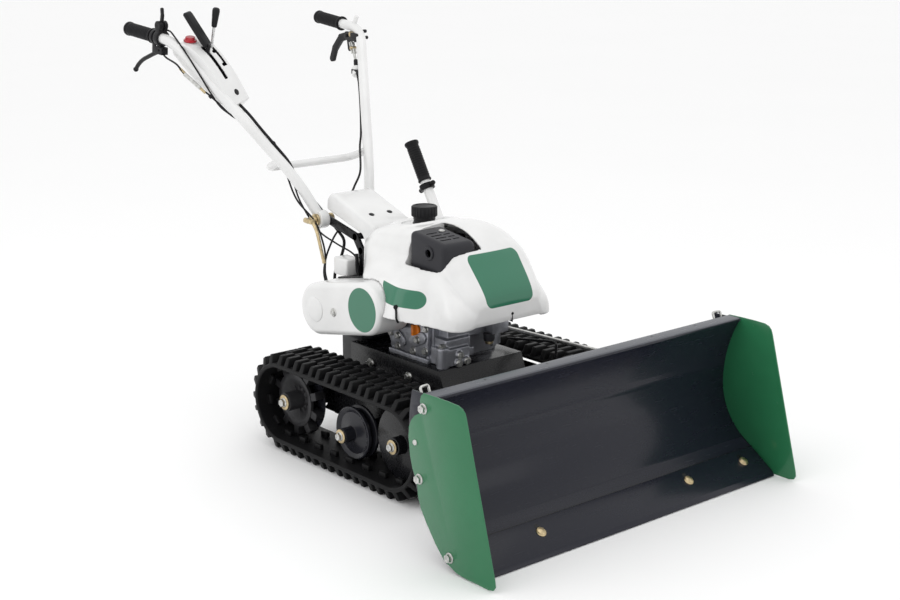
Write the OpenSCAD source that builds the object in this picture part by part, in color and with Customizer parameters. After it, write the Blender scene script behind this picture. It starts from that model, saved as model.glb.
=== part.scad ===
// Walk-behind tracked snow dozer: two rubber tracks, an engine under a hood, a lifting blade and a
// handlebar. Millimetres. The front is -Y, the operator's left is +X, and the ground is Z = 0.

/* [Tracks] */
// Distance from the middle of the machine to the middle of each belt
track_x = 246; // [235:1:270]
// Width of a belt
belt_w = 130; // [110:1:140]
// Thickness of a belt without its lugs
belt_t = 10; // [8:0.5:12]
// Height of the outer lugs
lug_h = 21; // [15:1:26]
// Length of the belt that one link takes
lug_pitch = 60; // [58:0.5:61]
// Number of links in a belt
link_count = 23; // [23:1:24]
// Inner radius of a belt where it goes round a wheel
wheel_r = 86; // [80:1:92]
// Radius of the middle rollers
roller_r = 61; // [50:1:70]
// Place of the middle rollers along the machine
roller_y = -87; // [-100:1:-75]
// Middle of the tracks along the machine
track_mid_y = -69; // [-75:1:-63]
// Diameter of the fixed wheel axles
axle_d = 20; // [16:1:24]

/* [Chassis] */
// Width of the chassis box
chassis_w = 248; // [240:1:252]
// Height of the deck above the ground
deck_z = 242; // [236:1:246]
// Lower edge of the chassis above the ground
chassis_z = 88; // [80:1:95]
// Thickness of the chassis sheet
sheet_t = 5; // [3:0.5:8]
// Diameter of the two blade pivot pins
pivot_d = 20; // [16:1:24]

/* [Engine] */
// Length of the crankcase along the machine
crankcase_l = 155; // [140:1:160]
// Diameter of the crankshaft
crank_d = 25; // [20:1:30]
// Pitch radius of the crank pulley
crank_pulley_r = 34; // [28:1:38]
// Pitch radius of the driven pulley
driven_pulley_r = 44; // [38:1:46]
// Diameter of the fuel filler neck
neck_d = 46; // [40:1:48]

/* [Covers] */
// Half of the width of the hood at its lower edge
hood_half_w = 148; // [145:1:152]
// Lower edge of the hood above the ground
hood_z = 348; // [345:1:350]
// Thickness of the hood and the other covers
shell_t = 3; // [2:0.5:4]
// Radius of the round ends of the belt cover
cover_r = 61; // [59:1:64]
// Distance of the belt cover's outer face from the middle
cover_x = 215; // [212:1:220]
// Half of the width of the rear hood
rear_half_w = 60; // [56:1:62]

/* [Blade] */
// Width of the blade over its side plates
blade_w = 900; // [800:10:1000]
// Thickness of the mouldboard
blade_t = 4; // [3:0.5:6]
// Thickness of the side plates and of the end ribs
plate_t = 4; // [3:0.5:6]
// Radius of the upper part of the mouldboard
upper_r = 283; // [270:1:300]
// Radius of the lower part of the mouldboard
lower_r = 148; // [145:1:152]
// Thickness of the cutting edge
edge_t = 6; // [5:0.5:10]
// Width of the cutting edge
edge_w = 88; // [70:1:95]
// Width of the folded top lip
lip_w = 22; // [15:1:30]

/* [Lift] */
// Length of the lift lever from its pivot to its top
lever_l = 556; // [520:1:580]
// Diameter of the lift lever's tube
lever_d = 25; // [20:1:28]
// Diameter of the lift rod
rod_d = 10; // [8:1:12]

/* [Handlebar] */
// Outer diameter of the handle tubes
tube_d = 25.4; // [22:0.1:28]
// Diameter of the crossbar
crossbar_d = 19; // [16:1:22]
// Diameter of the grips
grip_d = 31; // [30:0.5:34]
// Length of the grips
grip_l = 115; // [105:1:118]
// Diameter of the handle pivot studs
stud_d = 12; // [10:1:14]
// Diameter of the control cables
cable_d = 6; // [5:0.5:7]
// Width of the control console
console_w = 62; // [58:1:66]

/* [Hidden] */
$fn = 48;
fit = 0.05;
run_gap = 0.5;
touch_gap = 0.3;
seam = 0.05;
screw_d = 6;

// Track places
belt_out_r = wheel_r + belt_t;
wheel_z = lug_h + belt_out_r;
neutral_r = wheel_r + belt_t / 2;
wheel_span = (link_count * lug_pitch - 2 * PI * neutral_r) / 2;
rear_axle_y = track_mid_y + wheel_span / 2;
front_axle_y = track_mid_y - wheel_span / 2;
roller_z = lug_h + belt_t + roller_r + run_gap;
rim_half = 19;
disc_t = 6;
hub_out = 44;
hub_r = axle_d / 2 + 10;
axle_end = track_x + hub_out + 2;
beam_x0 = chassis_w / 2 + 26;
beam_x1 = beam_x0 + 26;
beam_z0 = roller_z - axle_d / 2 - 6;
beam_h = 75;
half_shaft_d = axle_d + 4;
guide_h = 12;

// Chassis places
chassis_x = chassis_w / 2;
chassis_front_y = -227;
chassis_toe_y = -290;
chassis_rear_y = 95;
pivot_y = -230;
pivot_z = 117;
pivot_end = chassis_x + 22;

// Engine places
crank_y = -68;
crank_z = 367;
driven_y = 110;
driven_z = 333;
crankcase_x0 = -95;
crankcase_x1 = 85;
crankcase_y1 = -19.5;
crankcase_y0 = crankcase_y1 - crankcase_l;
crankcase_top = 425;
flange_t = 10;
oil_y = -127;
oil_z = 315;
neck_y = -28;
tank_z = 440;
tank_top = 500;
cap_z = 538;
cylinder_z = 352;
cylinder_top = 440;
cylinder_l = 95;
cylinder_y0 = crankcase_y0 - cylinder_l;

// Belt drive places
plate_x = 125;
belt_plate_t = 4;
pulley_x = 184;
pulley_w = 26;
v_belt_w = 13;
v_belt_t = 8;
cover_screw = [38, 340];
input_x0 = -116;
input_x1 = 60;
input_z0 = 250;
input_z1 = 385;

// Muffler places
guard_x0 = -118;
guard_x1 = 2;
guard_y0 = -240;
guard_y1 = -112;
guard_z = 462;
guard_top = 540;
guard_t = 2;
muffler_gap = 14;

// Hood places
hood_front_y = -312;
hood_rear_z = 398;
section_t = 0.1;
hood_screw_z = hood_z + 18;

// Blade places
bend_y = -559;
bend_z = 190;
blade_top = 340;
edge_turn = 56;
flat_l = 80;
edge_start = 30;
rib_x = blade_w / 2 - 2 * plate_t;
plate_out = blade_w / 2;
plate_tip_y = -775;
plate_top = 344;
plate_low = 2;
plate_r = 328;
plate_c = [-850, 260];
arm_x0 = chassis_x + 4;
arm_t = 12;
arm_w = 50;
upper_c = [bend_y - upper_r, bend_z];
lower_c = [bend_y - lower_r, bend_z];
flat_dir = [-sin(edge_turn), -cos(edge_turn)];
flat_out = [cos(edge_turn), -sin(edge_turn)];
flat_start = lower_c + lower_r * flat_out;
plate_bolts = [[-568, 312], [-554, 165], [-645, 30]];
plate_screw = [-542, 237];
edge_bolts_x = [-240, 200, 383];

// Lift places
lever_y = -70;
lever_z = 195;
lever_tilt = 30.95;
lever_x = chassis_x + 36;
lever_plate_t = 8;
lever_pin_d = 16;
rod_pin_l = 82;
rod_pin_d = 12;
rod_x = lever_x + 12;
rod_eye_t = 12;
rod_front = [-540, 282];
rod_rear = [lever_y + rod_pin_l * sin(lever_tilt), lever_z + rod_pin_l * cos(lever_tilt)];
pin_room = 4;
ear_t = 6;

// Handlebar places, for the operator's left
tube_top = [291, 768, 937];
tube_bend = [283, 576, 918];
tube_knee = [109, 319, 593];
tube_foot = [73, 276, 501];
tube_sides = 16;
eye_d = 44;
eye_x0 = rear_half_w + 1;
eye_x1 = eye_x0 + 25;
bracket_x0 = rear_half_w - shell_t - 6;
bracket_x1 = rear_half_w - shell_t;
clamp_collar_d = stud_d + 18;
grip_dir = tube_top - tube_bend;
grip_yaw = -atan2(grip_dir.x, grip_dir.y);
grip_pitch = asin(grip_dir.z / norm(grip_dir));
grip_start = 85;
down_dir = tube_knee - tube_bend;
down_yaw = atan2(-down_dir.x, -down_dir.y);
down_pitch = asin(-down_dir.z / norm(down_dir));
console_x0 = tube_d / 2 + 3;
console_tilt = 14;
console_profile = [
    [-4, -12], [-12, 18], [-35, 36], [-66, 42], [-110, 40], [-150, 32], [-212, 14],
    [-206, -14], [-100, -30], [-15, -26]
];

// Cable routes. A point with four values lies beside a tube: distance up the tube, then inward, then
// out of its upper side. A point with three values is a place on the machine
side_route = [
    [-285, 612, 890], [-278, 588, 877], [-70, 0, -18.5, 0], [-150, 0, -17, 0], [-250, 0, -17, 0],
    [-340, 0, -17, 0], [-425, 0, -19, 0], [-98, 333, 562], [-86, 312, 524]
];
console_route = [
    [-210.6, 40, 3, 0], [-248, 31, 8, 0], [-300, 16, 12, 0], [-360, 12, 11.5, 0], [-420, 13, 13, 0],
    [-86, 279, 566], [-73, 260, 540]
];
throttle_route = [
    [-277.6, 616.7, 943.5], [-278, 604, 942], [-277, 582, 934], [-50, 0, 17.5, 0], [-120, -6, 16, 0],
    [-200, -12, 11.5, 0], [-300, -16.5, 2, 0], [-400, -16.5, -2, 0], [-115, 305, 562], [-103, 290, 532]
];
clutch_route = [
    [-134, 16, -24, 0], [-175, 12, -14, 0], [-250, 12, -11.8, 0], [-330, 15, -7.5, 0],
    [-385, 17, 4, 0], [-435, 15, 9, 0], [73, 303, 557], [70, 297, 538]
];
lower_route = [
    [-60.6, 249, 486], [-60.6, 220, 474], [-60.6, 186, 457], [-60.6, 142, 425], [-60.6, 130, 392]
];

function unit(v) = v / norm(v);
function corner(a, b, c, r, steps) = let(p = b + r * unit(a - b), q = b + r * unit(c - b))
    [for (i = [0:steps]) let(t = i / steps) (1 - t) * (1 - t) * p + 2 * t * (1 - t) * b + t * t * q];
function rounded_path(pts, radii, steps) = [
    pts[0],
    for (i = [1:len(pts) - 2]) each corner(pts[i - 1], pts[i], pts[i + 1], radii[i - 1], steps),
    pts[len(pts) - 1]
];
function arc_points(c, r, a0, a1, steps) = [
    for (i = [0:steps]) let(a = a0 + (a1 - a0) * i / steps) c + r * [cos(a), sin(a)]
];
function mirror_x(pts) = [for (p = pts) [-p.x, p.y, p.z]];

// A round tube along a path, as one closed surface
module sweep(path, d, sides, ref) {
    last = len(path) - 1;
    ahead = [for (i = [0:last]) unit(path[min(i + 1, last)] - path[max(i - 1, 0)])];
    rings = [
        for (i = [0:last]) let(u = unit(cross(ahead[i], ref)), v = cross(u, ahead[i]))
            for (k = [0:sides - 1]) path[i] + d / 2 * (u * cos(360 * k / sides) + v * sin(360 * k / sides))
    ];
    walls = [
        for (i = [0:last - 1]) for (k = [0:sides - 1])
            let(a = i * sides + k, b = a + sides, e = i * sides + (k + 1) % sides, c = e + sides)
                each [[a, e, c], [a, c, b]]
    ];
    caps = [[for (k = [0:sides - 1]) sides - 1 - k], [for (k = [0:sides - 1]) last * sides + k]];
    polyhedron(rings, concat(walls, caps));
}

module on_side(side) {
    if (side < 0) mirror([1, 0, 0]) children();
    else children();
}

// A flat outline in Y and Z, given its width along X
module along_x(x0, x1) {
    translate([x0, 0, 0]) rotate([90, 0, 90]) linear_extrude(x1 - x0) children();
}

module rod_x(y, z, d, x0, x1) {
    translate([x0, y, z]) rotate([0, 90, 0]) cylinder(d = d, h = x1 - x0);
}

module block(low, high) {
    translate(low) cube(high - low);
}

module bar(a, b, w) {
    translate(a) circle(d = w);
    translate(b) circle(d = w);
    translate(a) rotate(atan2(b.y - a.y, b.x - a.x))
        translate([0, seam - w / 2]) square([norm(b - a), w - 2 * seam]);
}

module round_rect(w, l, r) {
    translate([-w / 2 + r, -l / 2]) square([w - 2 * r, l]);
    translate([-w / 2, -l / 2 + r]) square([w, l - 2 * r]);
    for (x = [-1, 1], y = [-1, 1]) translate([x * (w / 2 - r), y * (l / 2 - r)]) circle(r);
}

// A flange bolt head with its washer face at the origin, pointing up Z
module bolt_head(size) {
    cylinder(d = 2.1 * size, h = 0.25 * size);
    translate([0, 0, 0.25 * size]) cylinder(d = 1.75 * size, h = 0.6 * size, $fn = 6);
}

// Belt: outline and lugs
module stadium(r) {
    steps = 36;
    polygon(concat(
        arc_points([rear_axle_y, wheel_z], r, -90, 90, steps),
        arc_points([front_axle_y, wheel_z], r, 90, 270, steps)
    ));
}

module at_link(s) {
    arc = PI * neutral_r;
    turn = 180 / arc;
    if (s < wheel_span) translate([0, rear_axle_y - s, wheel_z]) children();
    else if (s < wheel_span + arc)
        translate([0, front_axle_y, wheel_z]) rotate([turn * (s - wheel_span), 0, 0]) children();
    else if (s < 2 * wheel_span + arc)
        translate([0, front_axle_y + s - wheel_span - arc, wheel_z]) rotate([180, 0, 0]) children();
    else translate([0, rear_axle_y, wheel_z]) rotate([turn * (s - 2 * wheel_span), 0, 0]) children();
}

module lug(x0, x1, slope0, slope1, width) {
    sink = 2;
    translate([0, width / 2, belt_out_r - sink]) rotate([90, 0, 0]) linear_extrude(width)
        polygon([[x0, 0], [x1, 0], [x1 - slope1, lug_h + sink], [x0 + slope0, lug_h + sink]]);
}

module track_belt(side) {
    half = belt_w / 2;
    lug_side = half - 0.8;
    edge_lug = 0.36 * belt_w;
    mid_lug = 0.23 * belt_w;
    guide_in = rim_half + 7;
    color([0.07, 0.07, 0.07]) on_side(side) translate([track_x, 0, 0]) {
        along_x(-half, half) difference() {
            stadium(belt_out_r);
            stadium(wheel_r);
        }
        for (i = [0:link_count - 1]) {
            at_link((i + 0.1) * lug_pitch) {
                lug(-lug_side, edge_lug - half, 9, 3, 13);
                lug(half - edge_lug, lug_side, 3, 9, 13);
            }
            at_link((i + 0.35) * lug_pitch) lug(-mid_lug, mid_lug, 4, 4, 12);
            at_link((i + 0.55) * lug_pitch) {
                lug(-lug_side, edge_lug - half, 9, 3, 13);
                lug(half - edge_lug, lug_side, 3, 9, 13);
            }
            at_link((i + 0.85) * lug_pitch) lug(-mid_lug, mid_lug, 4, 4, 12);
            at_link((i + 0.35) * lug_pitch) for (x = [-1, 1])
                translate([x * (guide_in + 5) - 5, -12, wheel_r - guide_h]) cube([10, 24, guide_h + 1]);
        }
    }
}

// Track wheels, each about its own axle along X
module wheel_at(side, y, z) {
    on_side(side) translate([track_x, y, z]) rotate([0, 90, 0]) children();
}

module idler(side) {
    rim = wheel_r - run_gap;
    color([0.12, 0.12, 0.13]) wheel_at(side, front_axle_y, wheel_z) difference() {
        union() {
            for (z = [-rim_half, rim_half - disc_t])
                translate([0, 0, z]) cylinder(r = rim, h = disc_t, $fn = 96);
            translate([0, 0, -rim_half]) cylinder(r = hub_r, h = rim_half + hub_out);
        }
        translate([0, 0, -rim_half - 1]) cylinder(d = axle_d + 2 * fit, h = rim_half + hub_out + 2);
    }
}

module roller(side) {
    step = 10;
    color([0.13, 0.13, 0.14]) wheel_at(side, roller_y, roller_z) difference() {
        union() {
            rotate_extrude() polygon([
                [0, -rim_half], [roller_r, -rim_half], [roller_r, rim_half], [roller_r - step, rim_half],
                [roller_r - step - 6, rim_half - 7], [hub_r + 8, rim_half - 7], [hub_r + 3, rim_half + 3],
                [hub_r, rim_half + 3], [hub_r, hub_out], [0, hub_out]
            ]);
        }
        translate([0, 0, -rim_half - 1]) cylinder(d = axle_d + 2 * fit, h = rim_half + hub_out + 2);
    }
}

module sprocket(side) {
    teeth = 10;
    ring_r = wheel_r - 22;
    tooth_r = wheel_r - run_gap - 1.5;
    hub = half_shaft_d / 2 + 10;
    inner = track_x - transmission_half;
    color([0.11, 0.11, 0.12]) wheel_at(side, rear_axle_y, wheel_z) {
        rotate_extrude() polygon([
            [0, -12], [hub, -12], [hub + 8, -8], [ring_r - 8, 8], [ring_r, 8], [ring_r, 16],
            [ring_r - 12, 16], [hub + 6, 0], [hub, 2], [hub, hub_out], [0, hub_out]
        ]);
        for (i = [0:teeth - 1]) rotate(360 * i / teeth) {
            translate([ring_r - 6, -9, -10]) cube([tooth_r - ring_r + 6, 18, 24]);
            translate([hub - 2, -2.5, -4]) cube([ring_r - hub - 3, 5, 8]);
        }
        translate([0, 0, -inner - shaft_in]) cylinder(d = half_shaft_d, h = inner + shaft_in);
        translate([0, 0, hub_out]) cylinder(d = 34, h = 3);
        translate([0, 0, hub_out + 3]) bolt_head(10);
    }
}

// Track frame: one beam, two fixed axles and two stays to the chassis
module track_frame(side) {
    stay_d = 40;
    color([0.1, 0.1, 0.11]) on_side(side) {
        block([beam_x0, front_axle_y - 25, beam_z0], [beam_x1, chassis_rear_y, beam_z0 + beam_h]);
        rod_x(front_axle_y, wheel_z, axle_d, beam_x1 - 5, axle_end);
        rod_x(roller_y, roller_z, axle_d, beam_x1 - 5, axle_end);
        for (p = [[front_axle_y, wheel_z], [roller_y, roller_z]])
            rod_x(p.x, p.y, hub_r * 2, beam_x1 - 5, track_x - rim_half - run_gap);
        for (y = [-150, 50]) rod_x(y, beam_z0 + beam_h / 2, stay_d, chassis_x, beam_x0 + 5);
    }
}

// Chassis: a folded box, open below, with the blade pivots and the lift lever's pivot
module chassis_profile(inset) {
    polygon([
        [chassis_front_y + inset, deck_z - inset], [chassis_rear_y - inset, deck_z - inset],
        [chassis_rear_y - inset, chassis_z - (inset > 0 ? 1 : 0)],
        [chassis_toe_y + inset * 1.3, chassis_z - (inset > 0 ? 1 : 0)]
    ]);
}

module chassis_frame() {
    spacer_d = 28;
    color([0.08, 0.08, 0.09]) {
        difference() {
            along_x(-chassis_x, chassis_x) chassis_profile(0);
            along_x(sheet_t - chassis_x, chassis_x - sheet_t) chassis_profile(sheet_t);
        }
        for (side = [-1, 1]) on_side(side) rod_x(pivot_y, pivot_z, pivot_d, chassis_x - sheet_t, pivot_end);
        rod_x(lever_y, lever_z, spacer_d, chassis_x - sheet_t, lever_x - lever_plate_t / 2 - touch_gap);
        rod_x(lever_y, lever_z, lever_pin_d, chassis_x, lever_x + lever_plate_t / 2 + 4);
    }
}

// Transmission: gear case on the drive axle and the input housing above it
transmission_half = 80;
shaft_in = 40;
case_y1 = rear_axle_y + 55;
module transmission_case() {
    color([0.3, 0.3, 0.32]) difference() {
        union() {
            block([-transmission_half, chassis_rear_y, chassis_z - 12],
                [transmission_half, case_y1, input_z0]);
            block([input_x0, driven_y - 45, input_z0 - 1], [input_x1, driven_y + 45, input_z1]);
            rod_x(driven_y, driven_z, 60, -plate_x + belt_plate_t, input_x0 + 2);
            for (side = [-1, 1]) on_side(side)
                rod_x(rear_axle_y, wheel_z, half_shaft_d + 26, transmission_half - 2, beam_x1);
        }
        for (side = [-1, 1]) on_side(side)
            rod_x(rear_axle_y, wheel_z, half_shaft_d + 2 * fit, transmission_half - 45, beam_x1 + 1);
        rod_x(driven_y, driven_z, crank_d + 2 * fit, -plate_x - 1, input_x0 + 80);
    }
}

// Engine
module engine_crankcase() {
    ribs = 4;
    color([0.36, 0.37, 0.4]) difference() {
        union() {
            block([crankcase_x0 - 12, crankcase_y0 + 8, deck_z],
                [crankcase_x1 + 12, crankcase_y1 - 8, deck_z + flange_t]);
            block([crankcase_x0, crankcase_y0, deck_z + flange_t - 1],
                [crankcase_x1, crankcase_y1, crankcase_top]);
            rod_x(crank_y, crank_z, 70, crankcase_x0 - 12, crankcase_x0 + 2);
            rod_x(oil_y, oil_z, 34, crankcase_x0 - 6, crankcase_x0 + 2);
            for (i = [0:ribs - 1])
                block([crankcase_x0 - 5, crankcase_y0 + 14 + i * 36, deck_z + flange_t],
                    [crankcase_x0 + 1, crankcase_y0 + 20 + i * 36, oil_z - 22]);
        }
        rod_x(crank_y, crank_z, crank_d + 2 * fit, crankcase_x0 - 13, crankcase_x0 + 80);
        rod_x(oil_y, oil_z, 18 + 2 * fit, crankcase_x0 - 7, crankcase_x0 + 20);
    }
}

module engine_cylinder() {
    fins = 8;
    fin_step = (cylinder_top - cylinder_z - 12) / fins;
    color([0.45, 0.46, 0.48]) {
        block([-38, cylinder_y0, cylinder_z], [38, crankcase_y0, cylinder_top]);
        for (i = [0:fins - 1])
            block([-56, cylinder_y0 + 4, cylinder_z + 6 + i * fin_step],
                [56, crankcase_y0 - 4, cylinder_z + 9 + i * fin_step]);
    }
}

module recoil_housing() {
    depth = 32;
    recoil_d = 110;
    color([0.13, 0.13, 0.14]) difference() {
        union() {
            rod_x(crank_y, crank_z, recoil_d, crankcase_x1, crankcase_x1 + depth);
            rod_x(crank_y, crank_z, 44, crankcase_x1 + depth - 1, crankcase_x1 + depth + 6);
        }
        for (i = [0:9]) translate([crankcase_x1 + depth - 12, crank_y, crank_z]) rotate([36 * i, 0, 0])
            translate([0, -3, 28]) cube([20, 6, 20]);
    }
}

module fuel_tank() {
    foot_t = 12;
    color([0.16, 0.16, 0.17]) difference() {
        union() {
            translate([0, -35, tank_z]) linear_extrude(tank_top - tank_z) round_rect(156, 126, 24);
            translate([0, neck_y, tank_top - 1]) cylinder(d = neck_d, h = cap_z + 14 - tank_top);
            for (x = [-46, 40]) block([x, -88, crankcase_top], [x + foot_t, -26, tank_z + 1]);
        }
        translate([0, -35, tank_z + shell_t]) linear_extrude(tank_top - tank_z - 2 * shell_t)
            round_rect(156 - 2 * shell_t, 126 - 2 * shell_t, 24 - shell_t);
        translate([0, neck_y, tank_top - 10]) cylinder(d = neck_d - 6, h = cap_z + 30 - tank_top);
    }
}

module fuel_cap() {
    ribs = 24;
    cap_d = neck_d + 14;
    cap_h = 30;
    color([0.06, 0.06, 0.06]) difference() {
        union() {
            translate([0, neck_y, cap_z]) cylinder(d = cap_d - 2, h = cap_h);
            translate([0, neck_y, cap_z + cap_h - 1]) cylinder(d = cap_d - 8, h = 4);
            for (i = [0:ribs - 1]) translate([0, neck_y, cap_z + 4]) rotate(360 * i / ribs)
                translate([cap_d / 2 - 2, -1.6, 0]) cube([2, 3.2, cap_h - 7]);
        }
        translate([0, neck_y, cap_z - 1]) cylinder(d = neck_d + 2 * fit, h = 15);
    }
}

module oil_cap() {
    color([0.95, 0.5, 0.05]) {
        rod_x(oil_y, oil_z, 18, crankcase_x0 - 6 - touch_gap, crankcase_x0 + 15);
        rod_x(oil_y, oil_z, 27, crankcase_x0 - 16, crankcase_x0 - 6 - touch_gap);
        block([crankcase_x0 - 24, oil_y - 4, oil_z - 12], [crankcase_x0 - 15, oil_y + 4, oil_z + 12]);
    }
}

module carburettor() {
    color([0.42, 0.43, 0.45]) {
        block([32, crankcase_y0 - 56, oil_z - 15], [80, crankcase_y0, oil_z + 28]);
        translate([56, crankcase_y0 - 30, oil_z - 44]) cylinder(d = 34, h = 30);
        translate([56, crankcase_y0 - 30, oil_z - 52]) cylinder(d = 14, h = 9, $fn = 6);
    }
}

module muffler() {
    low = cylinder_top + 8;
    high = guard_top - guard_t - 20;
    mid_x = (guard_x0 + guard_x1) / 2;
    mid_y = (guard_y0 + guard_y1) / 2;
    w = guard_x1 - guard_x0 - 2 * muffler_gap;
    l = guard_y1 - guard_y0 - 2 * muffler_gap;
    color([0.3, 0.28, 0.26]) {
        translate([mid_x, mid_y, low]) linear_extrude(high - low) round_rect(w, l, 14);
        translate([-26, cylinder_y0 + 60, cylinder_top]) cylinder(d = 22, h = 10);
        for (y = [-1, 1]) translate([mid_x, mid_y + 30 * y, high - 1])
            cylinder(d = 10, h = guard_top - guard_t - high + 1);
    }
}

module muffler_guard() {
    slots = 4;
    mid = [(guard_x0 + guard_x1) / 2, (guard_y0 + guard_y1) / 2];
    w = guard_x1 - guard_x0;
    l = guard_y1 - guard_y0;
    color([0.12, 0.12, 0.13]) difference() {
        translate([mid.x, mid.y, guard_z]) linear_extrude(guard_top - guard_z) round_rect(w, l, 16);
        translate([mid.x, mid.y, guard_z - 1]) linear_extrude(guard_top - guard_z - guard_t + 1)
            round_rect(w - 2 * guard_t, l - 2 * guard_t, 16 - guard_t);
        for (i = [0:slots - 1])
            translate([mid.x - 38, guard_y0 + 26 + i * 16, guard_top - 6]) cube([40, 6, 12]);
        rod_x(guard_y0 + 48, guard_z + 40, 18, guard_x0 - 1, guard_x0 + 10);
    }
}

// Hood: a smooth shell over the engine, through cross sections from the front to the rear. Each section
// has its place, half widths at the foot and at the shoulder, top height and shoulder radius
hood_sections = [
    [hood_front_y, hood_half_w - 38, 92, 392, 10],
    [hood_front_y + 16, hood_half_w - 8, 122, 420, 26],
    [hood_front_y + 55, hood_half_w + 3, 129, 479, 45],
    [hood_front_y + 87, hood_half_w + 2, 126, 519, 54],
    [hood_front_y + 122, hood_half_w, 122, 538, 58],
    [hood_front_y + 182, hood_half_w - 2, 120, 545, 60],
    [hood_front_y + 272, hood_half_w - 14, 117, 534, 55],
    [hood_front_y + 352, hood_half_w - 32, 108, 521, 45],
    [hood_front_y + 395, hood_half_w - 46, 92, 500, 36]
];

module hood_section(p, t) {
    foot = t > 0 ? hood_z - 1 : hood_z;
    r = max(p[4] - t, 4);
    end = p[0] == hood_front_y ? t : p[0] == hood_sections[len(hood_sections) - 1][0] ? -t : 0;
    translate([0, p[0] + end + section_t, 0]) rotate([90, 0, 0]) linear_extrude(section_t) hull() {
        translate([-p[1] + t, foot]) square([2 * p[1] - 2 * t, 1]);
        for (x = [-1, 1]) translate([x * (p[2] - t - r), p[3] - t - r]) circle(r, $fn = 32);
    }
}

module hood_form(t) {
    for (i = [0:len(hood_sections) - 2]) hull() {
        hood_section(hood_sections[i], t);
        hood_section(hood_sections[i + 1], t);
    }
}

module cover_outline(r) {
    bar([crank_y, crank_z], [driven_y, driven_z], 2 * r);
}

module hood_screw_hole() {
    translate([0, hood_front_y - 1, hood_screw_z]) rotate([-90, 0, 0])
        cylinder(d = screw_d + 2 * fit, h = 20);
}

module hood() {
    room = 5;
    boss_d = 18;
    rear_wall_y = 58;
    color([0.95, 0.95, 0.94]) {
        difference() {
            hood_form(0);
            hood_form(shell_t);
            block([guard_x0 - 60, guard_y0 - room, guard_z - room],
                [guard_x1 + room, guard_y1 + room, guard_top + 60]);
            block([-hood_half_w, rear_wall_y, hood_z - 10],
                [hood_half_w, hood_sections[8][0] + 5, hood_rear_z]);
            translate([0, neck_y, tank_top]) cylinder(d = neck_d + 10, h = 100);
            along_x(-hood_half_w - 20, -plate_x + belt_plate_t + 16) cover_outline(cover_r + touch_gap + 1);
            hood_screw_hole();
        }
        difference() {
            translate([0, hood_front_y + shell_t - 1, hood_screw_z]) rotate([-90, 0, 0])
                cylinder(d = boss_d, h = cylinder_y0 - hood_front_y - shell_t + 1);
            hood_screw_hole();
        }
    }
}

rear_profile = [
    [86, 440], [86, 511], [108, 518], [238, 560], [256, 560], [269, 546], [273, 522], [134, 484], [104, 440]
];
module rear_hood() {
    screw_y = 142;
    color([0.95, 0.95, 0.94]) difference() {
        along_x(-rear_half_w, rear_half_w) polygon(rear_profile);
        along_x(shell_t - rear_half_w, rear_half_w - shell_t) polygon([
            [86 + shell_t, 439], [86 + shell_t, 509], [109, 518 - shell_t], [238, 560 - shell_t],
            [254, 560 - shell_t], [266, 545], [269, 520], [132, 480], [102, 439]
        ]);
        for (x = [-22, 22]) translate([x, screw_y, 500]) cylinder(d = 9, h = 60);
    }
}

// Belt drive
module cover_form(r, x0, x1, edge) {
    hull() for (p = [[crank_y, crank_z], [driven_y, driven_z]])
        translate([x0, p.x, p.y]) rotate([0, 90, 0]) {
            translate([0, 0, edge]) cylinder(r = r, h = x1 - x0 - edge, $fn = 64);
            translate([0, 0, edge * 0.3]) cylinder(r = r - edge * 0.3, h = 1, $fn = 64);
            cylinder(r = r - edge, h = 1, $fn = 64);
        }
}

module belt_cover() {
    color([0.95, 0.95, 0.94]) difference() {
        cover_form(cover_r, -cover_x, -plate_x, 12);
        cover_form(cover_r - shell_t, -cover_x + shell_t, -plate_x + 1, 10);
        rod_x(cover_screw.x, cover_screw.y, screw_d + 2 * fit, -cover_x - 1, -cover_x + shell_t + 1);
    }
}

module belt_plate() {
    color([0.14, 0.14, 0.15]) difference() {
        union() {
            along_x(-plate_x, -plate_x + belt_plate_t) cover_outline(cover_r);
            rod_x(cover_screw.x, cover_screw.y, 14, -cover_x + shell_t, -plate_x + 1);
        }
        rod_x(crank_y, crank_z, crank_d + 24, -plate_x - 1, -plate_x + belt_plate_t + 1);
        rod_x(driven_y, driven_z, crank_d + 12, -plate_x - 1, -plate_x + belt_plate_t + 1);
        rod_x(cover_screw.x, cover_screw.y, screw_d + 2 * fit, -cover_x, -cover_x + 22);
    }
}

module pulley(r, shaft_x1, p) {
    groove = v_belt_w / 2;
    rim = pulley_w / 2;
    color([0.5, 0.5, 0.52]) translate([-pulley_x, p.x, p.y]) rotate([0, 90, 0]) {
        rotate_extrude() polygon([
            [0, -rim], [r + 3, -rim], [r + 3, -groove - 2], [r - v_belt_t, -groove], [r - v_belt_t, groove],
            [r + 3, groove + 2], [r + 3, rim], [0, rim]
        ]);
        cylinder(d = crank_d, h = pulley_x + shaft_x1);
    }
}

module belt_loop(grow) {
    crank = [crank_y, crank_z];
    driven = [driven_y, driven_z];
    span = driven - crank;
    along = atan2(span.y, span.x);
    lean = acos((crank_pulley_r - driven_pulley_r) / norm(span));
    polygon(concat(
        arc_points(crank, crank_pulley_r + grow, along + lean, along + 360 - lean, 30),
        arc_points(driven, driven_pulley_r + grow, along - lean, along + lean, 30)
    ));
}

module drive_belt() {
    color([0.1, 0.1, 0.1]) along_x(-pulley_x - v_belt_w / 2 + touch_gap, -pulley_x + v_belt_w / 2 - touch_gap)
        difference() {
            belt_loop(touch_gap);
            belt_loop(touch_gap - v_belt_t);
        }
}

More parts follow.
